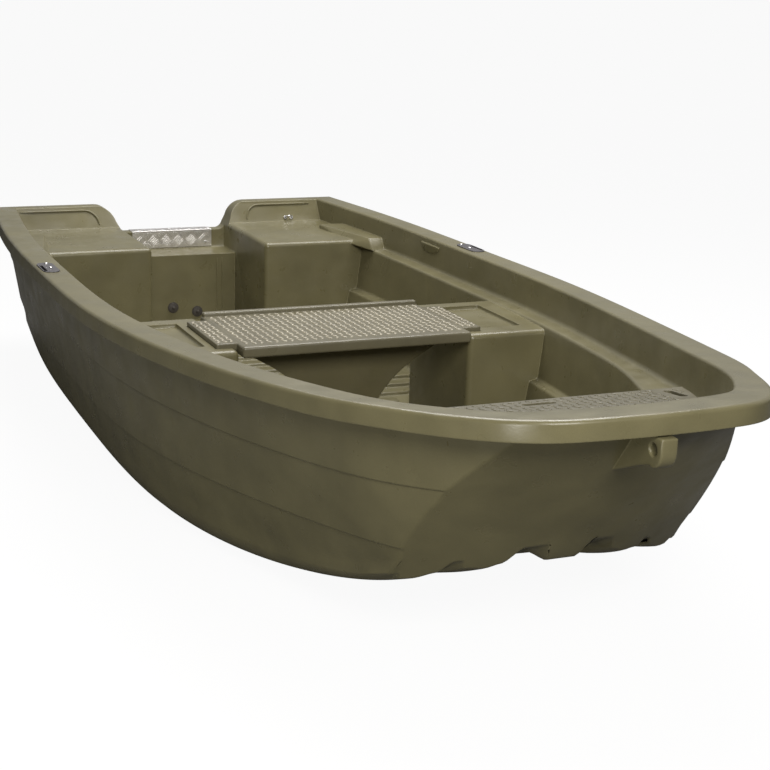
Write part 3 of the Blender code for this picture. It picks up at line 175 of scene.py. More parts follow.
def polyethylene(name, color, roughness, edge=0.35):
    """Semi-gloss moulded plastic: mottled, faintly speckled, with a painted highlight along its edges."""
    made, tree, shader, where = principled(name)
    patches = varied(tree, where, PATCH_SCALE, 3.0, 0.89, 1.11, 0.3)
    specks = varied(tree, where, SPECK_SCALE, 2.0, 0.93, 1.07)
    body = scaled(tree, color, math_node(tree, "MULTIPLY", patches, specks))
    normal = edge_normal(tree, PLASTIC_EDGE)
    # Sharp edges are painted paler: a painted highlight for the light that rounded edges catch; edge sets
    # how strong it is.
    painted_edge_highlight = math_node(tree, "MULTIPLY", edge_share(tree, normal), edge)
    highlight_color = tuple(min(1.0, c * 1.9 + 0.02) for c in color)
    swell = bumped(tree, noise(tree, where, SWELL_SCALE, 1.5), SWELL_HEIGHT, normal)
    feed(tree, shader, {
        "Base Color": mixed(tree, painted_edge_highlight, body, highlight_color),
        "Roughness": varied(tree, where, GLOSS_SCALE, 3.0, roughness - 0.08, roughness + 0.07),
        "Normal": bumped(tree, noise(tree, where, PEEL_SCALE, 2.0), PEEL_HEIGHT, swell),
        "Specular IOR Level": 0.45})
    return made


def metal(name, color, roughness, metallic=1.0):
    """Metal with a fine grain in its gloss and its surface."""
    made, tree, shader, where = principled(name)
    fine = noise(tree, where, GRAIN_SCALE, 3.0)
    feed(tree, shader, {
        "Base Color": scaled(tree, color, varied(tree, where, TARNISH_SCALE, 4.0, 0.88, 1.10)),
        "Roughness": ramped(tree, fine, *NOISE_SPAN, roughness * 0.8, roughness * 1.25),
        "Normal": bumped(tree, fine, GRAIN_HEIGHT, edge_normal(tree, SMALL_EDGE)),
        "Metallic": metallic})
    return made


def plain_plastic(name, color, roughness):
    """Plastic or foam with a mottled tone and fine dimples."""
    made, tree, shader, where = principled(name)
    dimples = noise(tree, where, DIMPLE_SCALE, 2.0)
    feed(tree, shader, {
        "Base Color": scaled(tree, color, varied(tree, where, MOTTLE_SCALE, 3.0, 0.8, 1.2)),
        "Roughness": roughness,
        "Normal": bumped(tree, dimples, GRAIN_HEIGHT, edge_normal(tree, SMALL_EDGE))})
    return made


finishes = {
    "olive": polyethylene("olive_polyethylene", (0.126, 0.113, 0.058), 0.34, 0.60),
    # The support panel under the thwart gets a darker copy of the olive: painted shade for the shadow the
    # thwart casts on it.
    "panel": polyethylene("olive_painted_shade", (0.084, 0.074, 0.038), 0.42),
    "board": polyethylene("olive_board", (0.114, 0.103, 0.065), 0.34),
    # The thwart's tread bars are the board's plastic painted much paler: a painted highlight for the glints
    # on the bars.
    "tread": polyethylene("olive_tread_painted_highlight", (0.350, 0.322, 0.252), 0.28),
    "aluminium": metal("tread_aluminium", (0.84, 0.82, 0.80), 0.34),
    "steel": metal("stainless_steel", (0.60, 0.59, 0.58), 0.24),
    "grey": metal("socket_metal", (0.10, 0.095, 0.10), 0.46, metallic=0.5),
    "black": plain_plastic("black_plastic", (0.040, 0.034, 0.028), 0.55),
    "foam": plain_plastic("white_foam", (0.78, 0.77, 0.72), 0.95),
    "wood": plain_plastic("core_board", (0.42, 0.28, 0.15), 0.8),
}

# A node's finish goes by the first of these words that its name holds
FINISH_WORDS = {
    # The support panel takes the darker panel finish, which is painted shade.
    "hull": "olive", "liner": "olive", "support": "panel", "thwart": "board", "seat": "board",
    "socket": "grey", "screw": "steel", "eye": "steel", "plate": "aluminium", "drain": "black",
    "foam": "foam", "core": "wood",
}
for name, obj in NODES.items():
    word = next(word for word in FINISH_WORDS if word in name)
    obj.data.materials.clear()
    obj.data.materials.append(finishes[FINISH_WORDS[word]])


# Boat lines, lengths in metres, in agreement with the part's source
GUNWALE_LENGTH = 3.545
SHEER_RISE = 0.132
SHEER_POWER = 3.95
BEAM_STATIONS = (0.0, 0.60, 1.30, 1.85, 2.40, 2.90, 3.20, 3.43)
HALF_BEAMS = (0.675, 0.735, 0.755, 0.748, 0.680, 0.571, 0.458, 0.288)
CAP_WIDTH = 0.085
CAP_SKIRT = 0.046
CAP_SKIN = 0.005
CAP_EDGE = 0.010
CAP_CORNER = 0.078
CAP_REACH = 0.012
BOW_CAP_WIDTH = 0.130
BOW_OVERHANG = 0.045
OVERHANG_RISE = (3.15, 3.45)
RIM_BULGE = 0.052
BOW_BULGE = 0.072
BULGE_REACH = 0.35
HULL_SKIN = 0.006
HULL_INSET = 0.045
SIDE_FLARE = 0.065
BOW_FLARE = 0.055
FLARE_DEPTH = 0.370
FLARE_POWER = 1.3
BOW_LINES = (1.90, 3.10)
UPPER_LAP = 0.180
LOWER_LAP = 0.340
LAP_STEP = 0.004
TRANSOM_INSET = 0.012
TRANSOM_RAKE = 0.10
BOW_FACE_X = 3.455
BOW_FACE_TOP = 0.060
BOW_FACE_RAKE = 0.77
BOW_FACE_BULGE = 0.080
BILGE_HEIGHT = 0.110
BOW_BILGE_HEIGHT = 0.045
BOW_FOOT_X = 3.165
ROCKER_START = 1.80
ROCKER_RISE = 0.225
STERN_RISE = 0.030
TUNNEL_HEIGHT = 0.050
GROOVE_HEIGHT = 0.030
BILGE_SHARE = 0.85
CUT_DEPTH = 0.107
CUT_HALF_SILL = 0.215
CUT_HALF_TOP = 0.303
CUT_FOOT_RADIUS = 0.030
CUT_TOP_RADIUS = 0.078
WELL_DEPTH = 0.177
LINER_SKIN = 0.005
LEDGE_DEPTH = 0.105
LEDGE_WIDTH = 0.045
BOW_LEDGE_EXTRA = 0.055
BOW_LEDGE_RUN = 0.500
BOW_LEDGE_LEAD = 0.025
BOW_CAP_NARROWING = 0.018
BOW_CAP_RUN = 0.500
BOW_CAP_END_GAP = 0.145
STEP_DEPTH = 0.160
STEP_WIDTH = 0.028
FLOOR_DEPTH = 0.430
FLOOR_CLEAR = 0.024
BOW_WALL_GAP = 0.070
BOW_UPPER_GAP = 0.030
WALL_DRAFT = 0.006
COCKPIT_RADIUS = 0.045
SHOULDER_X = 0.052
SHOULDER_FOOT_X = 0.110
STERN_WALL_X = 0.190
RIM_HEIGHT = -0.002
BOX_RADIUS = 0.016
STERN_BOX_FRONT = 0.545
STERN_BOX_DEPTH = 0.078
STERN_BOX_HALF_GAP = 0.212
MID_BOX_AFT = 1.540
MID_BOX_LENGTH = 0.425
MID_BOX_HALF_GAP = 0.352
MID_BOX_SET_DOWN = 0.002
TRAY_OFFSET = 0.060
TRAY_LENGTH = 0.290
TRAY_WIDTH = 0.130
TRAY_GAP = 0.022
TRAY_DEPTH = 0.012
TAB_SEAT_DEPTH = 0.008
RIB_PITCH = 0.095
THWART_AFT = 1.575
THWART_WIDTH = 0.410
THWART_HEIGHT = 0.032
THWART_SKIN = 0.006
THWART_TAB = 0.055
THWART_TAB_INSET = 0.060
THWART_BAYS = 4
BOW_SEAT_AFT = 2.975
BOW_SEAT_FORE = 3.320
BOW_SEAT_INSET = 0.136
BOW_SEAT_SKIN = 0.007
BOW_SEAT_THICKNESS = 0.040
GRIP_LENGTH = 0.085
GRIP_WIDTH = 0.022
GRIP_MIDDLE_X = 3.03
GRIP_SIDE_X = 3.05
PLATE_SCREW_Y = 0.133
PLATE_SCREW_DROP = 0.048
PLATE_THICKNESS = 0.002
SOCKET_X = 1.206
SOCKET_INSET = 0.034
DRAINS = ((-0.036, 0.380), (0.060, 0.400))
FIT = 0.0003
LOOSE = 0.0015

# Bores in the scene's shells, a little wider than what passes through them
DRAIN_BORE = 0.0153
SCREW_BORE = 0.0027
SMALL_SIDES = 20
BORE_SIDES = 40

# Reach of the cutters past what they cut
OPEN_TOP = 0.06
TOOL_PAST = 0.05
TOOL_SIDE = 1.2
TOOL_FOOT = -0.8
NOTCH_REACH = 0.09

# Fineness of the scene's own shells, and how much their points crowd towards the bow
STATIONS = 96
INSIDE_STATIONS = 30
SIDE_POINTS = 72
CORNER_POINTS = 9
ARC_POINTS = 8
FRONT_POINTS = 14
TURN_STEPS = 5
ROW_CROWDING = 1.2
SIDE_CROWDING = 1.25


def spline_through(xs, ys):
    """Natural cubic spline through the stations, as a function."""
    xs, ys = np.asarray(xs, float), np.asarray(ys, float)
    count, gaps = len(xs), np.diff(xs)
    left, right = np.zeros((count, count)), np.zeros(count)
    left[0, 0] = left[-1, -1] = 1.0
    for i in range(1, count - 1):
        left[i, i - 1:i + 2] = gaps[i - 1], 2 * (gaps[i - 1] + gaps[i]), gaps[i]
        right[i] = 6 * ((ys[i + 1] - ys[i]) / gaps[i] - (ys[i] - ys[i - 1]) / gaps[i - 1])
    bends = np.linalg.solve(left, right)

    def value(x):
        i = int(np.clip(np.searchsorted(xs, x) - 1, 0, count - 2))
        gap = gaps[i]
        a, b = (xs[i + 1] - x) / gap, (x - xs[i]) / gap
        curve = ((a ** 3 - a) * bends[i] + (b ** 3 - b) * bends[i + 1]) * gap * gap / 6
        return float(a * ys[i] + b * ys[i + 1] + curve)

    return value


half_beam = spline_through(BEAM_STATIONS, HALF_BEAMS)


def sheer(x):
    return SHEER_RISE * max(0.0, x / GUNWALE_LENGTH) ** SHEER_POWER


def ease(low, high, x):
    t = min(1.0, max(0.0, (x - low) / (high - low)))
    return t * t * (3 - 2 * t)


def keel_height(x):
    fore = max(0.0, x - ROCKER_START) / (BOW_FOOT_X - ROCKER_START)
    aft = max(0.0, 1.0 - x / ROCKER_START)
    return -DEPTH + ROCKER_RISE * fore ** 3 + STERN_RISE * aft ** 2


def chine_height(x):
    fore = ease(*BOW_LINES, x)
    return keel_height(x) + BILGE_HEIGHT * (1 - fore) + BOW_BILGE_HEIGHT * fore


def side_half(x, depth):
    flare = SIDE_FLARE + BOW_FLARE * ease(*BOW_LINES, x)
    return half_beam(x) - HULL_INSET - flare * (max(0.0, depth - CAP_SKIRT) / FLARE_DEPTH) ** FLARE_POWER


def chine_half(x):
    return side_half(x, sheer(x) - chine_height(x))


def bow_face(y, z):
    return BOW_FACE_X - BOW_FACE_RAKE * max(0.0, BOW_FACE_TOP - z) - BOW_FACE_BULGE * (y / BULGE_REACH) ** 2


def transom_face(z):
    return TRANSOM_INSET + TRANSOM_RAKE * max(0.0, -z)


def ledge_inset(x):
    full = BOW_SEAT_AFT - BOW_LEDGE_LEAD
    return CAP_WIDTH + WALL_DRAFT + LEDGE_WIDTH + BOW_LEDGE_EXTRA * ease(full - BOW_LEDGE_RUN, full, x)


def cap_inset(x):
    full = GUNWALE_LENGTH - BOW_CAP_END_GAP
    return CAP_WIDTH - BOW_CAP_NARROWING * ease(full - BOW_CAP_RUN, full, x)


def overhang(x):
    """How far the gunwale stands out over the hull near the bow, past its usual lip."""
    return BOW_OVERHANG * ease(*OVERHANG_RISE, x)


def floor_height(x):
    return max(-FLOOR_DEPTH, keel_height(x) + TUNNEL_HEIGHT + FLOOR_CLEAR)


# Outline and mesh helpers

def arc(middle, radii, start, end, steps):
    """Points round a middle between two angles in degrees, with a radius along each axis."""
    turns = (math.radians(start + (end - start) * i / steps) for i in range(steps + 1))
    return [(middle[0] + radii[0] * math.cos(t), middle[1] + radii[1] * math.sin(t)) for t in turns]


def ring(sides):
    """Points round the unit circle."""
    return arc((0.0, 0.0), (1.0, 1.0), 0.0, 360.0, sides)[:-1]


def mirrored(side, near, far):
    """The span between two distances from the middle line, on the side given."""
    return sorted((side * near, side * far))


def link(name, data):
    made = bpy.data.objects.new(name, data)
    bpy.context.scene.collection.objects.link(made)
    return made


def built(name, bm):
    """The finished bmesh as an object of the scene."""
    mesh = bpy.data.meshes.new(name)
    bm.to_mesh(mesh)
    bm.free()
    return link(name, mesh)


def solid(name, points, faces, weld=1e-6):
    """Object from points and faces, welded, with its normals turned outwards."""
    bm = bmesh.new()
    made = [bm.verts.new(p) for p in points]
    for face in faces:
        corners = []
        for index in face:
            if made[index] not in corners:
                corners.append(made[index])
        if len(corners) > 2:
            bm.faces.new(corners)
    bmesh.ops.remove_doubles(bm, verts=bm.verts, dist=weld)
    bmesh.ops.dissolve_degenerate(bm, edges=bm.edges, dist=weld)
    bmesh.ops.recalc_face_normals(bm, faces=bm.faces)
    return built(name, bm)


def applied(obj):
    """The object with its modifiers applied."""
    bpy.context.view_layer.update()
    graph = bpy.context.evaluated_depsgraph_get()
    mesh = bpy.data.meshes.new_from_object(obj.evaluated_get(graph))
    obj.modifiers.clear()
    obj.data = mesh
    return obj


def combine(target, tool, operation):
    """Boolean of the target with the tool, applied; the tool is removed."""
    modifier = target.modifiers.new("combine", "BOOLEAN")
    modifier.operation = operation
    modifier.object = tool
    modifier.solver = "EXACT"
    applied(target)
    bpy.data.objects.remove(tool, do_unlink=True)


def cut(target, tool):
    combine(target, tool, "DIFFERENCE")


def fuse(target, tool):
    combine(target, tool, "UNION")


def rounded(obj, radius, segments=4):
    bevel = obj.modifiers.new("round", "BEVEL")
    bevel.width = radius
    bevel.segments = segments
    bevel.limit_method = "ANGLE"
    bevel.angle_limit = math.radians(30)
    return applied(obj)


def box(name, low, high, radius=0.0, segments=4):
    """A block between two corners, with rounded edges where a radius is given."""
    bm = bmesh.new()
    size = [b - a for a, b in zip(low, high)]
    middle = [(a + b) / 2 for a, b in zip(low, high)]
    matrix = Matrix.Translation(place(*middle)) @ Matrix.Diagonal((*size, 1.0))
    bmesh.ops.create_cube(bm, size=1.0, matrix=matrix)
    made = built(name, bm)
    return rounded(made, radius, segments) if radius > 0.0 else made


def rod(name, start, axis, radius, length, sides, mouth=None):
    """Cylinder from a point along an axis, or a cone that opens to the mouth's radius."""
    bm = bmesh.new()
    turn = Vector((0, 0, 1)).rotation_difference(Vector(axis)).to_matrix().to_4x4()
    matrix = Matrix.Translation(place(*start)) @ turn @ Matrix.Translation((0, 0, length / 2))
    bmesh.ops.create_cone(bm, cap_ends=True, segments=sides, radius1=radius, radius2=mouth or radius,
                          depth=length, matrix=matrix)
    return built(name, bm)


def outline_faces(n):
    """Faces of a body between two outlines of n points each."""
    faces = [tuple(range(n)), tuple(range(2 * n - 1, n - 1, -1))]
    return faces + [(i, i + n, (i + 1) % n + n, (i + 1) % n) for i in range(n)]


def prism(name, outline, low, high, plane):
    """Closed outline pushed along the third axis between two values."""
    turned = {"xz": lambda a, b, third: place(a, third, b), "yz": lambda a, b, third: place(third, a, b),
              "xy": place}[plane]
    points = [turned(a, b, third) for third in (low, high) for a, b in outline]
    return solid(name, points, outline_faces(len(outline)))


def smooth(obj, angle):
    obj.data.shade_smooth()
    obj.data.set_sharp_from_angle(angle=math.radians(angle))
    return obj


def dress(obj, finish, body, stands_for):
    """Finish of a piece kept inside the CAD box, its body and the CAD nodes it stands for."""
    obj.data.materials.clear()
    obj.data.materials.append(finishes[finish])
    for vertex in obj.data.vertices:
        vertex.co = [min(max(c, low), high) for c, low, high in zip(vertex.co, *CAD_BOX)]
    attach(obj, body)
    if stands_for:
        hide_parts(*stands_for)


# Hull shell

# Half section of the bottom: share of its half width, and the height there or the form's name
RUNNERS = ((0.00, "keel"), (0.10, "keel"), (0.18, "tunnel"), (0.34, "tunnel"), (0.41, 0.006), (0.50, 0.0),
           (0.62, 0.006), (0.67, "groove"), (0.71, "groove"), (0.76, 0.006), (BILGE_SHARE, 0.0), (1.00, 0.0))
RELIEF_FADE = (2.20, 3.15)
KEEL_NOTCH = 0.026
KEEL_NOTCH_RISE = (2.55, 2.95)
KEEL_NOTCH_FALL = (3.09, BOW_FOOT_X)
CORNER_GROOVE = 0.011
CORNER_GROOVE_SHARE = 0.956
CORNER_GROOVE_SPREAD = 0.031
CORNER_GROOVE_RISE = (2.95, 3.12)
CRISP_BILGE = 0.40
CRISP_BILGE_RISE = (2.60, 3.10)

# Top edge of the hull under the cap, and how a lap goes over into the side under it
HULL_TOP = 0.0065
LAP_HIP = 0.004
LAP_LIP = 0.001
LAP_FOOT = 0.002

# Radii of the hull's end corners, at the bottom and on the sides
TRANSOM_CORNERS = (0.006, 0.012)
BOW_CORNERS = (0.006, 0.007)
LADDER_GAP = 0.0015
MIDSHIPS = 1.7


def relief(x, share):
    """Height of the bottom over its lowest line, with rounded runners and grooves."""
    fore = ease(*RELIEF_FADE, x)
    depth = {"tunnel": TUNNEL_HEIGHT * (1 - 0.36 * fore), "groove": GROOVE_HEIGHT * (1 - 0.20 * fore),
             "keel": KEEL_NOTCH * ease(*KEEL_NOTCH_RISE, x) * (1 - ease(*KEEL_NOTCH_FALL, x))}
    off_centre = abs(share - CORNER_GROOVE_SHARE) / CORNER_GROOVE_SPREAD
    corner = CORNER_GROOVE * ease(*CORNER_GROOVE_RISE, x) * max(0.0, 1 - off_centre)
    for (a, low), (b, high) in zip(RUNNERS[:-1], RUNNERS[1:]):
        if share <= b:
            low, high = depth.get(low, low), depth.get(high, high)
            return low + (high - low) * ease(a, b, share) + corner
    return corner


def bilge_turn(share):
    """How far round the bilge a share of the bottom's half width lies, from 0 to 1."""
    return min(1.0, max(0.0, share - BILGE_SHARE) / (1 - BILGE_SHARE))


def bottom_height(x, share):
    height = keel_height(x) + relief(x, share)
    if share > BILGE_SHARE:
        turn = bilge_turn(share)
        crisp = 1 - CRISP_BILGE * ease(*CRISP_BILGE_RISE, x)
        height += (chine_height(x) - keel_height(x)) * (1 - math.sqrt(1 - turn * turn)) * crisp
    return height


def bottom_shares(fine):
    shares = []
    for (a, _), (b, _) in zip(RUNNERS[:-2], RUNNERS[1:-1]):
        steps = 4 if b - a < 0.10 else 3
        shares += [a + (b - a) * i / steps for i in range(steps)]
    turns = 6 if fine else 3
    bilge = [math.sin(math.pi / 2 * i / turns) for i in range(turns)]
    return shares + [BILGE_SHARE + (1 - BILGE_SHARE) * turn for turn in bilge]


def hull_rows(fine):
    """Rows of the half section: (kind, depth function or share, outward lap), top first."""
    stops = [(depth, 0.0) for depth in ((HULL_TOP, CAP_SKIRT) if fine else (-0.03, UPPER_LAP, LOWER_LAP))]
    for low, high in ((CAP_SKIRT, UPPER_LAP), (UPPER_LAP, LOWER_LAP)) if fine else ():
        steps = 7
        for i in range(1, steps):
            t = i / steps
            stops.append((low + (high - LAP_HIP - low) * t, LAP_STEP * t * t))
        stops += [(high - LAP_HIP, LAP_STEP), (high - LAP_LIP, LAP_STEP), (high + LAP_FOOT, 0.0)]
    rows = [("side", lambda x, d=d: d, lap) for d, lap in stops]
    foot = LOWER_LAP + LAP_FOOT
    for share in (0.25, 0.5, 0.75, 1.0) if fine else (1.0,):
        rows.append(("side", lambda x, s=share: foot * (1 - s) + (sheer(x) - chine_height(x)) * s, 0.0))
    return rows + [("bottom", share, 0.0) for share in reversed(bottom_shares(fine))]


def on_row(row, x, skin):
    """Point of a row of the hull at a distance from the stern, inwards by the skin."""
    kind, where, lap = row
    if kind == "side":
        depth = where(x)
        return np.array((x, side_half(x, depth) + lap - skin, sheer(x) - depth + skin))
    return np.array((x, where * (chine_half(x) - skin), bottom_height(x, where) + skin))


def hull_ends(skin):
    return ((lambda y, z: transom_face(z) + skin, -1), (lambda y, z: bow_face(y, z) - skin, 1))


def row_line(row, skin, stations):
    """Points of a row from the middle of the transom to the bow face, its ends rounded."""
    turn = 1.0 if row[0] == "side" else bilge_turn(row[1])
    steps = ARC_POINTS if skin == 0.0 else 1
    corners, ends = [], []
    for face, sign in hull_ends(skin):
        flat, full = TRANSOM_CORNERS if sign < 0 else BOW_CORNERS
        radius = flat + (full - flat) * turn
        lean = min(1.0, turn * full / radius)
        inward = (-lean, math.sqrt(1 - lean * lean))
        x = MIDSHIPS
        for _ in range(24):
            x = face(*on_row(row, x, skin)[1:])
        edge = on_row(row, x, skin)
        corner = []
        for k in range(steps + 1):
            w = k / steps
            y, z = edge[1] + inward[0] * radius * w * w, edge[2] + inward[1] * radius * w * w
            start = on_row(row, x - sign * radius * (1 - w) ** 2, skin)
            corner.append(start + np.array((face(y, z), y, z)) - edge)
        corners.append(corner)
        ends.append(x - sign * radius)
    line = list(reversed(corners[0]))
    for i in range(1, stations - 1):
        run = 1 - (1 - i / (stations - 1)) ** ROW_CROWDING
        line.append(on_row(row, ends[0] + run * (ends[1] - ends[0]), skin))
    return line + corners[1]


def hull_body(name, skin, stations):
    """Closed body inside the hull's outer face, or inside its inner face given the skin."""
    rows = hull_rows(skin == 0.0)
    last = sum(1 for row in rows if row[0] == "side") - 1
    lines = [row_line(row, skin, stations) for row in rows]
    columns, width = len(lines[0]), 2 * len(rows) - 1
    points, faces = [], []
    for i in range(columns):
        points += [place(line[i][0], -line[i][1], line[i][2]) for line in lines]
        points += [place(*line[i]) for line in reversed(lines[:-1])]
    for i in range(columns - 1):
        a = i * width
        faces += [(a + j, a + j + 1, a + width + j + 1, a + width + j) for j in range(width - 1)]
    rims = [[i * width, (i + 1) * width - 1] for i in range(columns)]
    for (face, _), column in zip(hull_ends(skin), (0, columns - 1)):
        start = column * width
        foot = list(range(start + last, start + width - last))
        lows = [points[k].z - DEPTH for k in foot]
        spread = [-row[1] for row in rows[last + 1:]] + [row[1] for row in reversed(rows[last + 1:-1])]
        ladder = []
        for k in range(last):
            _, y, z = lines[k][column]
            rung = [start + k]
            for share, low in zip(spread, lows[1:-1]):
                height = max(z, low + LADDER_GAP * (last - k))
                rung.append(len(points))
                points.append(place(face(share * y, height), share * y, height))
            ladder.append(rung + [start + width - 1 - k])
        ladder.append(foot)
        rims[column] = ladder[0]
        for upper, lower in zip(ladder[:-1], ladder[1:]):
            faces += [(upper[k], upper[k + 1], lower[k + 1], lower[k]) for k in range(len(upper) - 1)]
    faces += [tuple(aft + fore[::-1]) for aft, fore in zip(rims[:-1], rims[1:])]
    return solid(name, points, faces, 1e-7)


def hull_skin():
    """Hull with laps, bilge, runners, raked bow face, motor cut-out, drain holes and lug."""
    hull = hull_body("hull_skin", 0.0, STATIONS)
    cut(hull, hull_body("hull_inside", HULL_SKIN, INSIDE_STATIONS))
    notch = prism("hull_notch", cutout_outline(LINER_SKIN + FIT, OPEN_TOP), -TOOL_PAST, NOTCH_REACH, "yz")
    cut(hull, notch)
    for y, depth in DRAINS:
        cut(hull, rod("drain_hole", (-TOOL_PAST, y, -depth), (1, 0, 0), DRAIN_BORE, 0.15, BORE_SIDES))
    fuse(hull, towing_lug())
    cut(hull, lug_hole())
    return hull


# Towing lug, in side view and across
LUG_RADIUS = 0.030
LUG_NOSE_DEPTH = 0.038
LUG_NOSE_SWEEP = 111.6
LUG_HOLE_DROP = 0.030
LUG_HOLE_RADIUS = 0.013
LUG_MOUTH_RADIUS = 0.018
LUG_MOUTH_DEPTH = 0.005
LUG_MOUTH_Y = 0.0161
LUG_HALF_WIDTH = 0.019
LUG_EDGE = 0.006
LUG_TOP_GAP = 0.0018
LUG_HEEL_X = 0.045
LUG_HEEL_DROP = 0.046
LUG_ROOT_DROP = 0.090
LUG_SINK = 0.0036
LUG_SIDES = 48


def lug_centre():
    x = LENGTH - LUG_RADIUS
    return x, sheer(x) - CAP_SKIRT - FIT - LUG_HOLE_DROP


def towing_lug():
    """Lug under the bow gunwale, its front rounded in side view, with softened edges."""
    x, z = lug_centre()
    top, low = sheer(x) - CAP_SKIRT - LUG_TOP_GAP, z - LUG_ROOT_DROP
    points = [(x + LUG_RADIUS, top)] + arc((x, z), (LUG_RADIUS, LUG_NOSE_DEPTH), 0.0, -LUG_NOSE_SWEEP, 16)
    points.append((x - LUG_HEEL_X, z - LUG_HEEL_DROP))
    points += [(bow_face(0, level) - LUG_SINK, level) for level in (low, top)]
    return rounded(prism("towing_lug", points, -LUG_HALF_WIDTH, LUG_HALF_WIDTH, "xz"), LUG_EDGE)


def lug_hole():
    """Cutter of the lug's hole, opened out at both mouths."""
    x, z = lug_centre()
    hole = rod("lug_hole", (x, -TOOL_PAST, z), (0, 1, 0), LUG_HOLE_RADIUS, 2 * TOOL_PAST, LUG_SIDES)
    for side in (-1, 1):
        start = (x, side * LUG_MOUTH_Y, z)
        fuse(hole, rod("mouth", start, (0, side, 0), LUG_HOLE_RADIUS, LUG_MOUTH_DEPTH, LUG_SIDES,
                       LUG_MOUTH_RADIUS))
    return hole


# Cockpit liner with its gunwale cap

# Depth of the cap's underside and of its foot, and how the liner's edges are rounded
CAP_UNDERSIDE = 0.012
CAP_FOOT = 0.016
CAP_INNER_EDGE = 0.008
FOOT_TURN = 0.014
WALL_TURN = 0.010
FLOOR_TURN = 0.020
CORNER_DROP = 0.004
LOWER_WALL_INSET = 0.018
FLOOR_EDGE_INSET = 0.075
SHOULDER_SLOPE = 1.3
WELL_TOP = -0.070
WELL_REACH = 0.030
WELL_EDGE = 0.006
TRAY_EDGE = 0.007
CUT_REACH = 0.150

# Raised strip beside each stern box, from its aft end to its sloping fore end
STRIP_AFT = 0.280
STRIP_FORE = 0.610
STRIP_TOE = 0.032
STRIP_HEIGHT = 0.016
STRIP_DROP = 0.043
STRIP_AFT_Y = 0.522
STRIP_SPREAD = 0.073
STRIP_FOOT_SPREAD = 0.025
STARBOARD_SHIFT = 0.020
STRIP_EDGE = 0.005

# Boss on the inner wall
BOSS_X = 1.0
BOSS_HALF_WIDTH = 0.070
BOSS_TOP = 0.020
BOSS_HEIGHT = 0.030
BOSS_ROOT = 0.003
BOSS_PROUD = 0.005
BOSS_EDGE = 0.0022

# Cross ribs of the floor and the seats of the rowlock plates
RIB_LAST_X = 2.45
RIB_END_GAP = 0.110
RIB_BOX_GAP = 0.016
RIB_HALF_FOOT = 0.0275
RIB_HALF_CROWN = 0.0195
RIB_HEIGHT = 0.010
RIB_ROOT = 0.002
RIB_EDGE = 0.003
RIB_BOX_REACH = 0.055
SOCKET_SIZE = (0.150, 0.050)
SOCKET_SEAT = 0.001
SOCKET_SCREWS = (-0.060, 0.006)
SOCKET_SCREW_Y = 0.006
SLOT_OFFSET = (0.012, 0.017)
SLOT_HOLE = (0.0966, 0.0166)


def plan_loop(aft, front, inset, radius, height, bulge=BOW_BULGE):
    """Closed plan outline with a bowed front edge and rounded bow corners."""
    def side(x):
        return half_beam(x) - inset(x)

    def fore(y):
        return front - bulge * (y / BULGE_REACH) ** 2

    corner_x = front
    for _ in range(30):
        corner_x = 0.5 * (corner_x + fore(side(corner_x)))
    corner_y = side(corner_x)
    last_x, first_y = corner_x - radius, corner_y - radius
    half = []
    for i in range(SIDE_POINTS):
        t = 1 - (1 - i / (SIDE_POINTS - 1)) ** SIDE_CROWDING
        x = aft + (last_x - aft) * t
        half.append((x, side(x)))
    for i in range(1, CORNER_POINTS):
        t = i / CORNER_POINTS
        a, b, c = (1 - t) ** 2, 2 * t * (1 - t), t * t
        x = a * last_x + b * corner_x + c * fore(first_y)
        half.append((x, a * side(last_x) + b * corner_y + c * first_y))
    for i in range(FRONT_POINTS):
        y = first_y * (1 - i / (FRONT_POINTS - 0.5))
        half.append((fore(y), y))
    loop = [(x, -y, height(x)) for x, y in half]
    return loop + [(x, y, height(x)) for x, y in reversed(half)]


def rounded_rows(loops, radii):
    """Loops with further ones that round the turns of the section at each loop given a radius."""
    made = []
    arrays = [np.array(loop) for loop in loops]
    for i, (here, radius) in enumerate(zip(arrays, radii)):
        if radius == 0.0 or i in (0, len(arrays) - 1):
            made.append(loops[i])
            continue
        ends = []
        for other in (arrays[i - 1], arrays[i + 1]):
            away = np.linalg.norm(other - here, axis=1)
            share = np.minimum(0.49, radius / np.maximum(away, 1e-6))
            ends.append(here + (other - here) * share[:, None])
        for k in range(TURN_STEPS + 1):
            t = k / TURN_STEPS
            bend = (1 - t) ** 2 * ends[0] + 2 * t * (1 - t) * here + t * t * ends[1]
            made.append([tuple(p) for p in bend])
    return made


def loft(name, loops, closed=False):
    """Skin between plan outlines with the same number of points, its ends closed by ladders."""
    n = len(loops[0])
    points = [place(*p) for loop in loops for p in loop]
    faces = []
    for i in range(len(loops) if closed else len(loops) - 1):
        below = ((i + 1) % len(loops)) * n
        faces += [(i * n + j, i * n + (j + 1) % n, below + (j + 1) % n, below + j) for j in range(n)]
    for start in () if closed else (0, (len(loops) - 1) * n):
        end = start + n - 1
        faces += [(start + j, start + j + 1, end - 1 - j, end - j) for j in range(n // 2 - 1)]
    return solid(name, points, faces)


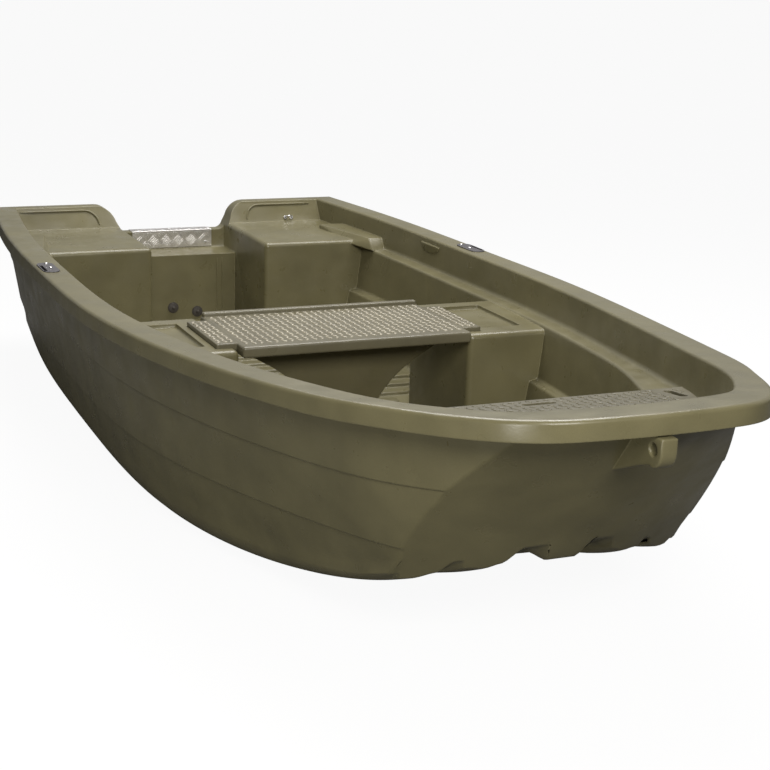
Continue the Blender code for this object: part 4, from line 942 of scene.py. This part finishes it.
def cockpit_rows(grow):
    """Loops of the space inside the liner, from above the gunwale to the floor."""
    cap_front = GUNWALE_LENGTH - BOW_CAP_WIDTH
    ledge = sheer(cap_front) - LEDGE_DEPTH
    step = ledge - STEP_DEPTH
    upper_front = bow_face(0.0, ledge) - BOW_UPPER_GAP
    step_front = bow_face(0.0, step) - BOW_WALL_GAP
    floor_front = bow_face(0.0, floor_height(step_front)) - BOW_WALL_GAP
    slope = SHOULDER_SLOPE * grow
    wall = STERN_WALL_X - grow
    r = CAP_INNER_EDGE
    rows = []
    if grow == 0.0:
        for out, drop in [(r, OPEN_TOP)] + arc((r, -r), (r, r), 90.0, 180.0, 6):
            rows.append((SHOULDER_X - out, cap_front + out, lambda x, o=out: cap_inset(x) - o, drop, 0.0))
    else:
        rows.append((SHOULDER_X - slope, cap_front, cap_inset, RIM_HEIGHT - 0.001, 0.0))
    lower_step = LEDGE_DEPTH + STEP_DEPTH
    rows += [(SHOULDER_FOOT_X - slope, upper_front, lambda x: cap_inset(x) + WALL_DRAFT,
              CORNER_DROP - LEDGE_DEPTH, FOOT_TURN),
             (wall, upper_front - BOW_LEDGE_EXTRA, ledge_inset, -LEDGE_DEPTH, WALL_TURN),
             (wall, step_front, lambda x: ledge_inset(x) + LOWER_WALL_INSET, -lower_step, WALL_TURN),
             (wall, step_front - STEP_WIDTH, lambda x: ledge_inset(x) + LOWER_WALL_INSET + STEP_WIDTH,
              -lower_step - CORNER_DROP, WALL_TURN)]
    loops, radii = [], []
    for aft, front, inset, drop, radius in rows:
        lower = grow if drop < RIM_HEIGHT - 0.002 else 0.0
        loops.append(plan_loop(aft, front + grow, lambda x, f=inset: f(x) - grow, COCKPIT_RADIUS,
                               lambda x, d=drop, g=lower: sheer(x) + d - g))
        radii.append(radius)
    for inwards in (0.0, 0.05):
        edge = FLOOR_EDGE_INSET + inwards
        loops.append(plan_loop(wall, floor_front + grow - inwards,
                               lambda x, e=edge: ledge_inset(x) + e - grow, COCKPIT_RADIUS,
                               lambda x: floor_height(x) - grow))
    return rounded_rows(loops, radii + [FLOOR_TURN, 0.0])


def mid_box_top():
    return sheer(MID_BOX_AFT) - LEDGE_DEPTH - MID_BOX_SET_DOWN


def cockpit_space(name, grow):
    """Everything inside the liner, or inside its outer face when grown by the skin."""
    space = loft(name, cockpit_rows(grow))
    top = mid_box_top()
    for side in (-1, 1):
        y = mirrored(side, STERN_BOX_HALF_GAP + grow, TOOL_SIDE)
        cut(space, box("stern_box", (-TOOL_SIDE, y[0], TOOL_FOOT),
                       (STERN_BOX_FRONT - grow, y[1], -STERN_BOX_DEPTH - grow), BOX_RADIUS - grow, 6))
        y = mirrored(side, MID_BOX_HALF_GAP + grow, TOOL_SIDE)
        cut(space, box("mid_box", (MID_BOX_AFT + grow, y[0], TOOL_FOOT),
                       (MID_BOX_AFT + MID_BOX_LENGTH - grow, y[1], top - grow), BOX_RADIUS - grow, 6))
    for side in (-1, 1):
        first = MID_BOX_HALF_GAP + THWART_TAB + TRAY_GAP
        y = mirrored(side, first - grow, first + TRAY_WIDTH + grow)
        aft = MID_BOX_AFT + TRAY_OFFSET
        fuse(space, box("tray", (aft - grow, y[0], top - TRAY_DEPTH - grow),
                        (aft + TRAY_LENGTH + grow, y[1], top + TOOL_PAST), TRAY_EDGE))
        y = mirrored(side, MID_BOX_HALF_GAP - TOOL_PAST, MID_BOX_HALF_GAP + THWART_TAB + LOOSE + grow)
        spare = LOOSE + grow - THWART_TAB_INSET
        fuse(space, box("tab_seat", (THWART_AFT - spare, y[0], top - TAB_SEAT_DEPTH - FIT - grow),
                        (THWART_AFT + THWART_WIDTH + spare, y[1], top + TOOL_PAST)))
        cut(space, stern_strip(side, grow))
    fuse(space, box("well", (SHOULDER_X - grow, -STERN_BOX_HALF_GAP - grow, -WELL_DEPTH - grow),
                    (STERN_WALL_X + WELL_REACH, STERN_BOX_HALF_GAP + grow, WELL_TOP), WELL_EDGE, 3))
    aft, top = (-TOOL_PAST, OPEN_TOP) if grow == 0.0 else (0.001, RIM_HEIGHT - 0.001)
    fuse(space, prism("cutout", cutout_outline(grow, top), aft, CUT_REACH, "yz"))
    return space


def cutout_outline(grow, top):
    """Motor cut-out seen from astern, from the sill up to the top given."""
    foot = (CUT_HALF_SILL + grow - CUT_FOOT_RADIUS, -CUT_DEPTH - grow + CUT_FOOT_RADIUS)
    shoulder = (CUT_HALF_TOP + grow, -CUT_TOP_RADIUS)
    last = 90.0 if top > 0.0 else 180.0 - math.degrees(math.asin((top - shoulder[1]) / CUT_TOP_RADIUS))
    right = arc(foot, (CUT_FOOT_RADIUS, CUT_FOOT_RADIUS), -90.0, -15.0, 8)
    right += arc(shoulder, (CUT_TOP_RADIUS, CUT_TOP_RADIUS), 165.0, last, 12)
    if top > 0.0:
        right.append((shoulder[0], top))
    return right + [(-y, z) for y, z in reversed(right)]


def gunwale_cap():
    """Rolled cap that runs round the whole boat, as a ring of its own section."""
    r = CAP_EDGE
    section = [(0.0, -CAP_SKIRT)] + arc((r, -r), (r, r), 180.0, 90.0, 8)
    section += [(CAP_WIDTH + CAP_REACH, 0.0), (CAP_WIDTH + CAP_REACH, -CAP_UNDERSIDE)]
    section += [(r + 0.001, -CAP_UNDERSIDE), (CAP_SKIN, -CAP_FOOT), (CAP_SKIN, -CAP_SKIRT)]
    loops = []
    for inset, drop in section:
        share = inset / CAP_WIDTH
        loops.append(plan_loop(inset, GUNWALE_LENGTH - share * BOW_CAP_WIDTH,
                               lambda x, s=share: s * CAP_WIDTH - (1 - s) * overhang(x),
                               CAP_CORNER, lambda x, d=drop: sheer(x) + d, RIM_BULGE))
    return loft("gunwale_cap", loops, closed=True)


def stern_strip(side, shrink):
    """Raised strip along the side of a stern box, wedge shaped at its fore end."""
    crown, root = STRIP_HEIGHT - STERN_BOX_DEPTH - shrink, -STERN_BOX_DEPTH - STRIP_HEIGHT
    toe, outer = crown - STRIP_DROP, half_beam(STRIP_FORE)
    aft, fore = STRIP_AFT + shrink, STRIP_FORE - shrink
    inner = STRIP_AFT_Y + shrink + (STARBOARD_SHIFT if side < 0 else 0.0)
    spread = inner + STRIP_SPREAD
    points = [(aft, inner, crown), (fore, spread, crown), (aft, outer, crown), (fore, outer, crown),
              (aft, inner, root), (STERN_BOX_FRONT, inner + STRIP_FOOT_SPREAD, root),
              (fore + STRIP_TOE, spread, toe), (fore + STRIP_TOE, outer, toe), (aft, outer, root),
              (fore, outer, toe)]
    bm = bmesh.new()
    for x, y, z in points:
        bm.verts.new(place(x, side * y, z))
    made = bmesh.ops.convex_hull(bm, input=bm.verts)
    bmesh.ops.delete(bm, geom=made["geom_interior"], context="VERTS")
    bmesh.ops.recalc_face_normals(bm, faces=bm.faces)
    strip = built("stern_strip", bm)
    return rounded(strip, STRIP_EDGE) if shrink == 0.0 else strip


def wall_boss(side):
    """Round-bottomed boss that follows the inner wall under the gunwale cap."""
    outline = arc((BOSS_X, -BOSS_TOP), (BOSS_HALF_WIDTH, -BOSS_HEIGHT), 0.0, 180.0, 24)
    points = [place(x, side * (half_beam(x) - cap_inset(x) + off), sheer(x) + z)
              for off in (BOSS_ROOT, -BOSS_PROUD) for x, z in outline]
    return rounded(solid("wall_boss", points, outline_faces(len(outline))), BOSS_EDGE, 3)


def joined(pieces):
    """One object from pieces that don't touch."""
    name = pieces[0].name
    bm = bmesh.new()
    for piece in pieces:
        bm.from_mesh(piece.data)
        bpy.data.objects.remove(piece, do_unlink=True)
    return built(name, bm)


def floor_ribs():
    """Cross ribs on the cockpit floor, on a regular pitch."""
    first = STERN_BOX_FRONT + RIB_PITCH
    for i in range(int((RIB_LAST_X - first) / RIB_PITCH)):
        x = first + i * RIB_PITCH
        half = half_beam(x) - ledge_inset(x) - RIB_END_GAP
        if MID_BOX_AFT - RIB_BOX_REACH < x < MID_BOX_AFT + MID_BOX_LENGTH + RIB_BOX_REACH:
            half = MID_BOX_HALF_GAP - RIB_BOX_GAP
        root, crown = floor_height(x) - RIB_ROOT, floor_height(x) + RIB_HEIGHT
        outline = [(x - RIB_HALF_FOOT, root), (x - RIB_HALF_CROWN, crown),
                   (x + RIB_HALF_CROWN, crown), (x + RIB_HALF_FOOT, root)]
        yield rounded(prism("rib", outline, -half, half, "xz"), RIB_EDGE, 3)


def stadium(x, y, length, width):
    """Outline with straight sides and round ends, about a centre."""
    radius = width / 2
    reach = length / 2 - radius
    fore, aft = (arc((x + end * reach, y), (radius, radius), start, start + 180.0, 16)
                 for end, start in ((1, -90.0), (-1, 90.0)))
    return fore + aft


def liner_cuts():
    """Cutters of the rowlock plates' seats and of the holes for slots, drains and screws."""
    z = sheer(SOCKET_X)
    seat = [size + LOOSE for size in SOCKET_SIZE]
    for side in (-1, 1):
        y = side * (half_beam(SOCKET_X) - SOCKET_INSET)
        yield prism("recess", stadium(SOCKET_X, y, *seat), z - SOCKET_SEAT, z + TOOL_PAST, "xy")
        hole = stadium(SOCKET_X + SLOT_OFFSET[0], y + side * SLOT_OFFSET[1], *SLOT_HOLE)
        yield prism("slot_hole", hole, z - TOOL_PAST, z + 0.0005, "xy")
        for along in SOCKET_SCREWS:
            start = (SOCKET_X + along, y - side * SOCKET_SCREW_Y, z + 0.0004)
            yield rod("screw_hole", start, (0, 0, -1), SCREW_BORE, 0.03, SMALL_SIDES)
    for y, depth in DRAINS:
        start = (STERN_WALL_X - TOOL_PAST, y, -depth)
        yield rod("drain_hole", start, (1, 0, 0), DRAIN_BORE, 2 * TOOL_PAST, BORE_SIDES)
    for y in (-PLATE_SCREW_Y, PLATE_SCREW_Y):
        start = (SHOULDER_X - TOOL_PAST / 2, y, -CUT_DEPTH - PLATE_SCREW_DROP)
        yield rod("screw_hole", start, (1, 0, 0), SCREW_BORE, TOOL_PAST, SMALL_SIDES)


def liner_skin():
    """Cockpit moulding with the gunwale cap, boxes, ledges, strips, bosses and ribs."""
    liner = cockpit_space("liner_skin", LINER_SKIN)
    fuse(liner, gunwale_cap())
    cut(liner, cockpit_space("cockpit_inside", 0.0))
    fuse(liner, joined(list(floor_ribs()) + [wall_boss(-1), wall_boss(1)]))
    for tool in liner_cuts():
        cut(liner, tool)
    return liner


# Boards and their tread, plates and small fittings

THWART_SEAT = mid_box_top() - TAB_SEAT_DEPTH
THWART_TOP = THWART_SEAT + 0.022
THWART_LOW = THWART_TOP - THWART_HEIGHT
THWART_HALF = MID_BOX_HALF_GAP - 0.003
THWART_FORE = THWART_AFT + THWART_WIDTH
TAB_SET_DOWN = 0.001
TAB_EDGE = 0.003
THWART_EDGE = 0.0075
LIP_INSET = 0.0008
LIP_FORE = 0.024
LIP_END_GAP = 0.004
LIP_HEIGHT = 0.012
LIP_EDGE = 0.0058
VENT = (1.90, 0.318)
VENT_RADIUS = 0.0035
POCKET_EDGE = 0.004

# Bow seat: where its corners turn, its grips and the hollows underneath
SEAT_CORNER = (0.012, 0.025)
SEAT_EDGE = 0.006
BOW_SEAT_REST = 0.0024
GRIP_SIDE_Y = half_beam(GRIP_SIDE_X) - BOW_SEAT_INSET - 0.045
GRIP_CLEAR = (0.056, 0.024)
HOLLOW_ENDS = 0.010
HOLLOW_ROWS = 3
HOLLOW_SIDE_WALL = 0.072
HOLLOW_MIDDLE = 0.0527
TREAD_MARGIN = 0.022

# Treads: pitches, and the bars' lengths, widths and heights
TREAD_PITCH = (0.0205, 0.0225)
TAB_TREAD_PITCH = (0.0205, 0.0185)
THWART_BAR = (0.0175, 0.0078, 0.0023)
SEAT_BAR = (0.0185, 0.0062, 0.0015)
INNER_PLATE_BAR = (0.033, 0.0040, 0.0015)
SILL_PLATE_BAR = (0.033, 0.0042, 0.0010)
BAR_SIDES = 10
BAR_TURNS = (2.59, 0.55)

# Rings of a bar: share of its width and share of its height, the first one sunk in
BAR_PROFILE = ((1.0, -0.4), (0.93, 0.45), (0.72, 0.85), (0.40, 1.0))

# Where the treads stand: gaps to the boards' edges and reaches from the middle line
THWART_TREAD_GAP = 0.036
THWART_TREAD_HALF = 0.331
TAB_TREAD = (0.005, 0.043)
TAB_TREAD_GAP = 0.076
SEAT_TREAD_GAP = 0.030
SEAT_TREAD_HALF = 0.40

# Five-bar pattern of the tread plate
GROUP_PITCH = 0.025
GROUP_SET_BACK = 0.008
SHORTEST_BAR = 0.007
BAR_PITCH = 0.0072
PLATE_TREAD_HALF = 0.153
PLATE_DROP = 0.064
SILL_TREAD = (0.004, 0.048)
SCREW_CLEAR = 0.015

# Beads on the inner stern wall, and on each shoulder from its outer to its inner end
WALL_BEAD_Y = (-0.143, 0.139, 0.159)
WALL_BEAD_TOP = -0.192
WALL_BEAD_STEP = 0.0215
WALL_BEAD_RADIUS = 0.0026
SHOULDER_BEAD_ENDS = ((-1, 0.585, 0.345), (1, 0.560, 0.345))
SHOULDER_BEAD_TOP = -0.015
SHOULDER_BEAD_TURN = 0.052
SHOULDER_BEAD_RADIUS = 0.0040
SHOULDER_LEAN = 0.586


def seat_under(x):
    """Underside of the bow seat, straight from its aft edge to its fore edge."""
    share = (x - BOW_SEAT_AFT) / (BOW_SEAT_FORE - BOW_SEAT_AFT)
    return sheer(BOW_SEAT_AFT) * (1 - share) + sheer(BOW_SEAT_FORE) * share - LEDGE_DEPTH + BOW_SEAT_REST


def studs(name, seats, bar, on_face):
    """Low rounded bars standing on a face: seats are (a, b, angle) on that face."""
    length, width, rise = bar
    points, faces = [], []
    for a, b, angle, *own in seats:
        span = own[0] if own else length
        start = len(points)
        c, s = math.cos(angle), math.sin(angle)
        for spread, level in BAR_PROFILE:
            for u, v in ring(BAR_SIDES):
                along, across = u * (span - (1 - spread) * width) / 2, v * width / 2 * spread
                points.append(on_face(a + c * along - s * across, b + s * along + c * across,
                                      level * rise))
        faces += tube_faces(start, len(BAR_PROFILE), BAR_SIDES)
    return smooth(solid(name, points, faces, 1e-7), 60)


def tube_faces(start, rings, sides):
    """Faces of a closed tube whose rings of points follow each other."""
    faces = []
    for i in range(rings - 1):
        j = start + sides * i
        faces += [(j + k, j + (k + 1) % sides, j + sides + (k + 1) % sides, j + sides + k)
                  for k in range(sides)]
    last = start + sides * (rings - 1)
    return faces + [tuple(range(last, last + sides)), tuple(range(start + sides - 1, start - 1, -1))]


def grid(low_a, high_a, low_b, high_b, pitch, keep=None):
    """Seats of a tread on a regular pitch, turned one way and the other by turns."""
    across, along = int((high_a - low_a) / pitch[0]), int((high_b - low_b) / pitch[1])
    seats = []
    for i in range(across + 1):
        for j in range(along + 1):
            a = (low_a + high_a) / 2 + (i - across / 2) * pitch[0]
            b = (low_b + high_b) / 2 + (j - along / 2) * pitch[1]
            if keep is None or keep(a, b):
                seats.append((a, b, BAR_TURNS[(i + j) % 2]))
    return seats


def thwart_board():
    """Tray turned over, with a rolled front, a raised aft lip, tabs and ribs underneath."""
    board = box("thwart_board", (THWART_AFT, -THWART_HALF, THWART_LOW),
                (THWART_FORE, THWART_HALF, THWART_TOP), THWART_EDGE, 6)
    reach = MID_BOX_HALF_GAP + THWART_TAB
    fuse(board, box("tabs", (THWART_AFT + THWART_TAB_INSET, -reach, THWART_SEAT),
                    (THWART_FORE - THWART_TAB_INSET, reach, THWART_TOP - TAB_SET_DOWN), TAB_EDGE))
    reach = THWART_HALF - LIP_END_GAP
    fuse(board, box("lip", (THWART_AFT + LIP_INSET, -reach, THWART_TOP - THWART_SKIN),
                    (THWART_AFT + LIP_FORE, reach, THWART_TOP + LIP_HEIGHT), LIP_EDGE, 6))
    bay = (2 * THWART_HALF - (THWART_BAYS + 1) * THWART_SKIN) / THWART_BAYS
    for i in range(THWART_BAYS):
        y = -THWART_HALF + THWART_SKIN + i * (bay + THWART_SKIN)
        cut(board, box("pocket", (THWART_AFT + THWART_SKIN, y, THWART_LOW - THWART_SKIN),
                       (THWART_FORE - THWART_SKIN, y + bay, THWART_TOP - THWART_SKIN), POCKET_EDGE, 3))
    cut(board, rod("vent", (*VENT, THWART_TOP - TOOL_PAST), (0, 0, 1), VENT_RADIUS, 2 * TOOL_PAST, 24))
    return smooth(board, 35)


def seat_outline(pull):
    """Plan outline of the bow seat, pulled in all round by the amount given."""
    half = []
    length, width = SEAT_CORNER
    last = BOW_SEAT_FORE - length
    for i in range(25):
        x = BOW_SEAT_AFT + (last - BOW_SEAT_AFT) * i / 24
        half.append((x, half_beam(x) - BOW_SEAT_INSET))
    corner = half[-1]
    half += arc((corner[0], corner[1] - width), (length, width), 90.0, 0.0, 8)[1:]
    loop = []
    for i, (x, y) in enumerate(half):
        fore = ease(corner[0], BOW_SEAT_FORE, x) if i > 23 else 0.0
        loop.append((x + pull if i == 0 else x - pull * fore, y - pull))
    return loop


def seat_board():
    """Tapered tray turned over, with rounded edges, grip slots and hollows underneath."""
    levels = [(0.0, 0.002), (0.002, 0.0)]
    levels += arc((BOW_SEAT_THICKNESS - SEAT_EDGE, SEAT_EDGE), (SEAT_EDGE, -SEAT_EDGE), 90.0, 0.0, 6)
    loops = []
    for rise, pull in levels:
        loop = [(x, -y, seat_under(x) + rise) for x, y in seat_outline(pull)]
        loops.append(loop + [(x, -y, z) for x, y, z in reversed(loop)])
    seat = loft("seat_board", loops)
    middle = stadium(0.0, 0.0, GRIP_LENGTH, GRIP_WIDTH)
    grips = [(GRIP_MIDDLE_X, [(GRIP_MIDDLE_X + a, b) for b, a in middle])]
    for y in (GRIP_SIDE_Y, -GRIP_SIDE_Y):
        grips.append((GRIP_SIDE_X, stadium(GRIP_SIDE_X, y, GRIP_LENGTH, GRIP_WIDTH)))
    for x, outline in grips:
        low = seat_under(x) - BOW_SEAT_THICKNESS
        cut(seat, prism("slot", outline, low, low + 3 * BOW_SEAT_THICKNESS, "xy"))
    bay = (BOW_SEAT_FORE - BOW_SEAT_AFT - 2 * (HOLLOW_ENDS + BOW_SEAT_SKIN)) / HOLLOW_ROWS
    for row in range(HOLLOW_ROWS):
        x_low = BOW_SEAT_AFT + HOLLOW_ENDS + row * (bay + BOW_SEAT_SKIN)
        x_high = x_low + bay
        top = BOW_SEAT_THICKNESS - BOW_SEAT_SKIN
        outline = [(x, seat_under(x) + rise) for x, rise in
                   ((x_low, -BOW_SEAT_SKIN), (x_low, top), (x_high, top), (x_high, -BOW_SEAT_SKIN))]
        reach = half_beam(x_high) - BOW_SEAT_INSET - HOLLOW_SIDE_WALL
        for side in (-1, 1):
            cut(seat, prism("hollow", outline, *mirrored(side, HOLLOW_MIDDLE, reach), "xz"))
    return smooth(seat, 35)


def on_thwart(x, y, rise):
    return place(x, y, THWART_TOP - (TAB_SET_DOWN if abs(y) > MID_BOX_HALF_GAP else 0) + rise)


def on_seat(x, y, rise):
    return place(x, y, seat_under(x) + BOW_SEAT_THICKNESS + rise)


def seat_keeps(x, y):
    """Whether the seat's tread has a bar here, clear of its edges and grips."""
    long, wide = GRIP_CLEAR
    in_middle = abs(x - GRIP_MIDDLE_X) < wide and abs(y) < long
    in_side = abs(x - GRIP_SIDE_X) < long and abs(abs(y) - GRIP_SIDE_Y) < wide
    return abs(y) <= half_beam(x) - BOW_SEAT_INSET - TREAD_MARGIN and not in_middle and not in_side


def bead(path, radius):
    """Round bead along a path of boat points, half sunk where the path lies on a face."""
    line = [place(*p) for p in path]
    points, sides = [], 12
    for i, here in enumerate(line):
        ahead = (line[min(i + 1, len(line) - 1)] - line[max(i - 1, 0)]).normalized()
        first = ahead.cross(Vector((1, 0, 0)) if abs(ahead.x) < 0.8 else Vector((0, 0, 1))).normalized()
        second = ahead.cross(first)
        swell = radius * (0.35 if i in (0, len(line) - 1) else 1.0)
        points += [here + swell * (u * first + v * second) for u, v in ring(sides)]
    return smooth(solid("bead", points, tube_faces(0, len(line), sides)), 60)


def stern_beads():
    """Beads of the panel on the inner stern wall and of the shoulders' forward faces."""
    made = []
    for y in WALL_BEAD_Y:
        path = [(STERN_WALL_X, y, WALL_BEAD_TOP - WALL_BEAD_STEP * i) for i in range(11)]
        made.append(bead(path, WALL_BEAD_RADIUS))
    top, turn = SHOULDER_BEAD_TOP, SHOULDER_BEAD_TURN
    for side, wide, narrow in SHOULDER_BEAD_ENDS:
        path = [(wide - (wide - narrow) * i / 8, top) for i in range(9)]
        path += arc((narrow, top - turn), (turn, turn), 90.0, 180.0, 12)[1:]
        line = [(SHOULDER_X + SHOULDER_LEAN * (-z - 0.002), side * y, z) for y, z in path]
        made.append(bead(line, SHOULDER_BEAD_RADIUS))
    return joined(made)


def tread_groups(low, high, length, clear=None):
    """Bars in groups of five at right angles to each other, cut off at the plate's edges."""
    seats = []
    for row in range(int((high - low) / GROUP_PITCH) + 2):
        turn = math.radians(45 if row % 2 else 135)
        c, s = math.cos(turn), math.sin(turn)
        for i in range(-4, 5):
            for k in range(-2, 3):
                a = (2 * i + row % 2) * GROUP_PITCH - s * k * BAR_PITCH
                b = high - GROUP_SET_BACK - row * GROUP_PITCH + c * k * BAR_PITCH
                spans = (sorted(((-PLATE_TREAD_HALF - a) / c, (PLATE_TREAD_HALF - a) / c)),
                         sorted(((low - b) / s, (high - b) / s)))
                start = max(-length / 2, spans[0][0], spans[1][0])
                end = min(length / 2, spans[0][1], spans[1][1])
                middle = (start + end) / 2
                seat = (a + middle * c, b + middle * s, turn, end - start)
                if end - start > SHORTEST_BAR and (clear is None or clear(*seat[:2])):
                    seats.append(seat)
    return seats


def plate_bars():
    """Five-bar pattern on the inner face and the sill of the tread plate."""
    face_x, sill = SHOULDER_X + FIT + PLATE_THICKNESS, FIT + PLATE_THICKNESS - CUT_DEPTH
    margin = SILL_TREAD[0]

    def clear(a, b):
        return math.hypot(abs(a) - PLATE_SCREW_Y, b + CUT_DEPTH + PLATE_SCREW_DROP) > SCREW_CLEAR

    seats = tread_groups(margin - CUT_DEPTH - PLATE_DROP, -CUT_DEPTH - margin, INNER_PLATE_BAR[0], clear)
    inner = studs("plate_bars_inner", seats, INNER_PLATE_BAR, lambda a, b, r: place(face_x + r, a, b))
    seats = tread_groups(*SILL_TREAD, SILL_PLATE_BAR[0])
    upper = studs("plate_bars_sill", seats, SILL_PLATE_BAR, lambda a, b, r: place(b, -a, sill + r))
    return inner, upper


# The scene's own pieces

dress(smooth(hull_skin(), 32), "olive", "hull", ("outer_hull",))
dress(smooth(liner_skin(), 32), "olive", "hull", ("inner_liner",))
dress(stern_beads(), "olive", "hull", ())
dress(thwart_board(), "board", "thwart", ("mid_thwart",))
tread = grid(THWART_AFT + THWART_TREAD_GAP, THWART_FORE - THWART_TREAD_GAP,
             -THWART_TREAD_HALF, THWART_TREAD_HALF, TREAD_PITCH)
for side in (-1, 1):
    span = mirrored(side, MID_BOX_HALF_GAP + TAB_TREAD[0], MID_BOX_HALF_GAP + TAB_TREAD[1])
    tread += grid(THWART_AFT + TAB_TREAD_GAP, THWART_FORE - TAB_TREAD_GAP, *span, TAB_TREAD_PITCH)
# The thwart's tread bars take the pale tread finish, which is a painted highlight.
dress(studs("thwart_tread", tread, THWART_BAR, on_thwart), "tread", "thwart", ())
dress(seat_board(), "board", "seat", ("bow_seat",))
tread = grid(BOW_SEAT_AFT + TREAD_MARGIN, BOW_SEAT_FORE - SEAT_TREAD_GAP,
             -SEAT_TREAD_HALF, SEAT_TREAD_HALF, TREAD_PITCH, seat_keeps)
dress(studs("seat_tread", tread, SEAT_BAR, on_seat), "board", "seat", ())
for piece in plate_bars():
    dress(piece, "aluminium", "hull", ())


# Camera, floor and light

CAMERA_TURNS = (156.39, 15.17, 1.88)
CAMERA_PLACE = (6.1003, -1.7207, 0.9906)
LENS = 75.9


def photo_camera():
    """Camera turned by its yaw, pitch and roll, in degrees."""
    yaw, pitch, roll = (math.radians(a) for a in CAMERA_TURNS)
    data = bpy.data.cameras.new("camera")
    data.sensor_width = 36.0
    data.lens = LENS
    data.clip_start = 0.05
    made = link("camera", data)
    turn = Matrix.Rotation(yaw - math.pi / 2, 4, "Z") @ Matrix.Rotation(math.pi / 2 - pitch, 4, "X")
    made.matrix_world = Matrix.Translation(place(*CAMERA_PLACE)) @ turn @ Matrix.Rotation(roll, 4, "Z")
    bpy.context.scene.camera = made


def area_light(name, at, size, watts, color, aim=(0.2, 0.0, 0.35)):
    data = bpy.data.lights.new(name, "AREA")
    data.shape = "RECTANGLE"
    data.size, data.size_y = size
    data.energy = watts
    data.color = color
    made = link(name, data)
    made.location = at
    made.rotation_euler = (Vector(aim) - Vector(at)).to_track_quat("-Z", "Y").to_euler()


def floor():
    """Pale floor that keeps the shadow and glows only for the camera."""
    mesh = bpy.data.meshes.new("floor")
    mesh.from_pydata([(-60, -60, 0), (60, -60, 0), (60, 60, 0), (-60, 60, 0)], [], [(0, 1, 2, 3)])
    made = link("floor", mesh)
    made.location.z = -0.001
    paint = new_material("pale_floor")
    tree = paint.node_tree
    shader = tree.nodes["Principled BSDF"]
    seen = node(tree, "LightPath").outputs["Is Camera Ray"]
    feed(tree, shader, {"Base Color": ramped(tree, seen, 0.0, 1.0, 0.13, 0.86), "Roughness": 0.9,
                        "Specular IOR Level": 0.1})
    glow = node(tree, "Emission", {"Strength": 1.0})
    share = math_node(tree, "MULTIPLY", seen, 0.94)
    both = node(tree, "MixShader", {0: share, 1: shader.outputs[0], 2: glow.outputs[0]})
    feed(tree, tree.nodes["Material Output"], {"Surface": both.outputs[0]})
    mesh.materials.append(paint)


def world():
    """Even sky for the camera, a backdrop for glossy rays and a soft fill for diffuse ones."""
    made = bpy.data.worlds.new("studio")
    bpy.context.scene.world = made
    made.use_nodes = True
    tree = made.node_tree
    path = node(tree, "LightPath").outputs
    where = node(tree, "TexCoord").outputs["Generated"]
    toward = node(tree, "VectorMath", {0: where, 1: (-0.89, 0.39, 0.24)}, operation="DOT_PRODUCT")
    backdrop = ramped(tree, toward.outputs["Value"], 0.35, 0.85, 0.16, 0.42)
    seen = math_node(tree, "MAXIMUM", path["Is Camera Ray"], path["Is Transmission Ray"])
    plain = math_node(tree, "ADD", math_node(tree, "MULTIPLY", path["Is Glossy Ray"], backdrop), seen)
    soft = math_node(tree, "MULTIPLY", path["Is Diffuse Ray"], 0.14)
    feed(tree, tree.nodes["Background"], {"Color": (1.0, 1.0, 1.0, 1.0),
                                          "Strength": math_node(tree, "ADD", plain, soft)})


photo_camera()
floor()
world()
area_light("key", (4.9, -1.0, 3.2), (2.6, 1.8), 265.0, (1.0, 0.975, 0.93))
area_light("front", (4.2, -4.0, 0.5), (1.0, 0.6), 80.0, (1.0, 0.985, 0.95), (1.0, -0.5, 0.4))
area_light("top", (-1.0, 0.6, 3.6), (3.0, 2.2), 190.0, (1.0, 0.98, 0.97))
bpy.context.scene.view_settings.view_transform = "Standard"
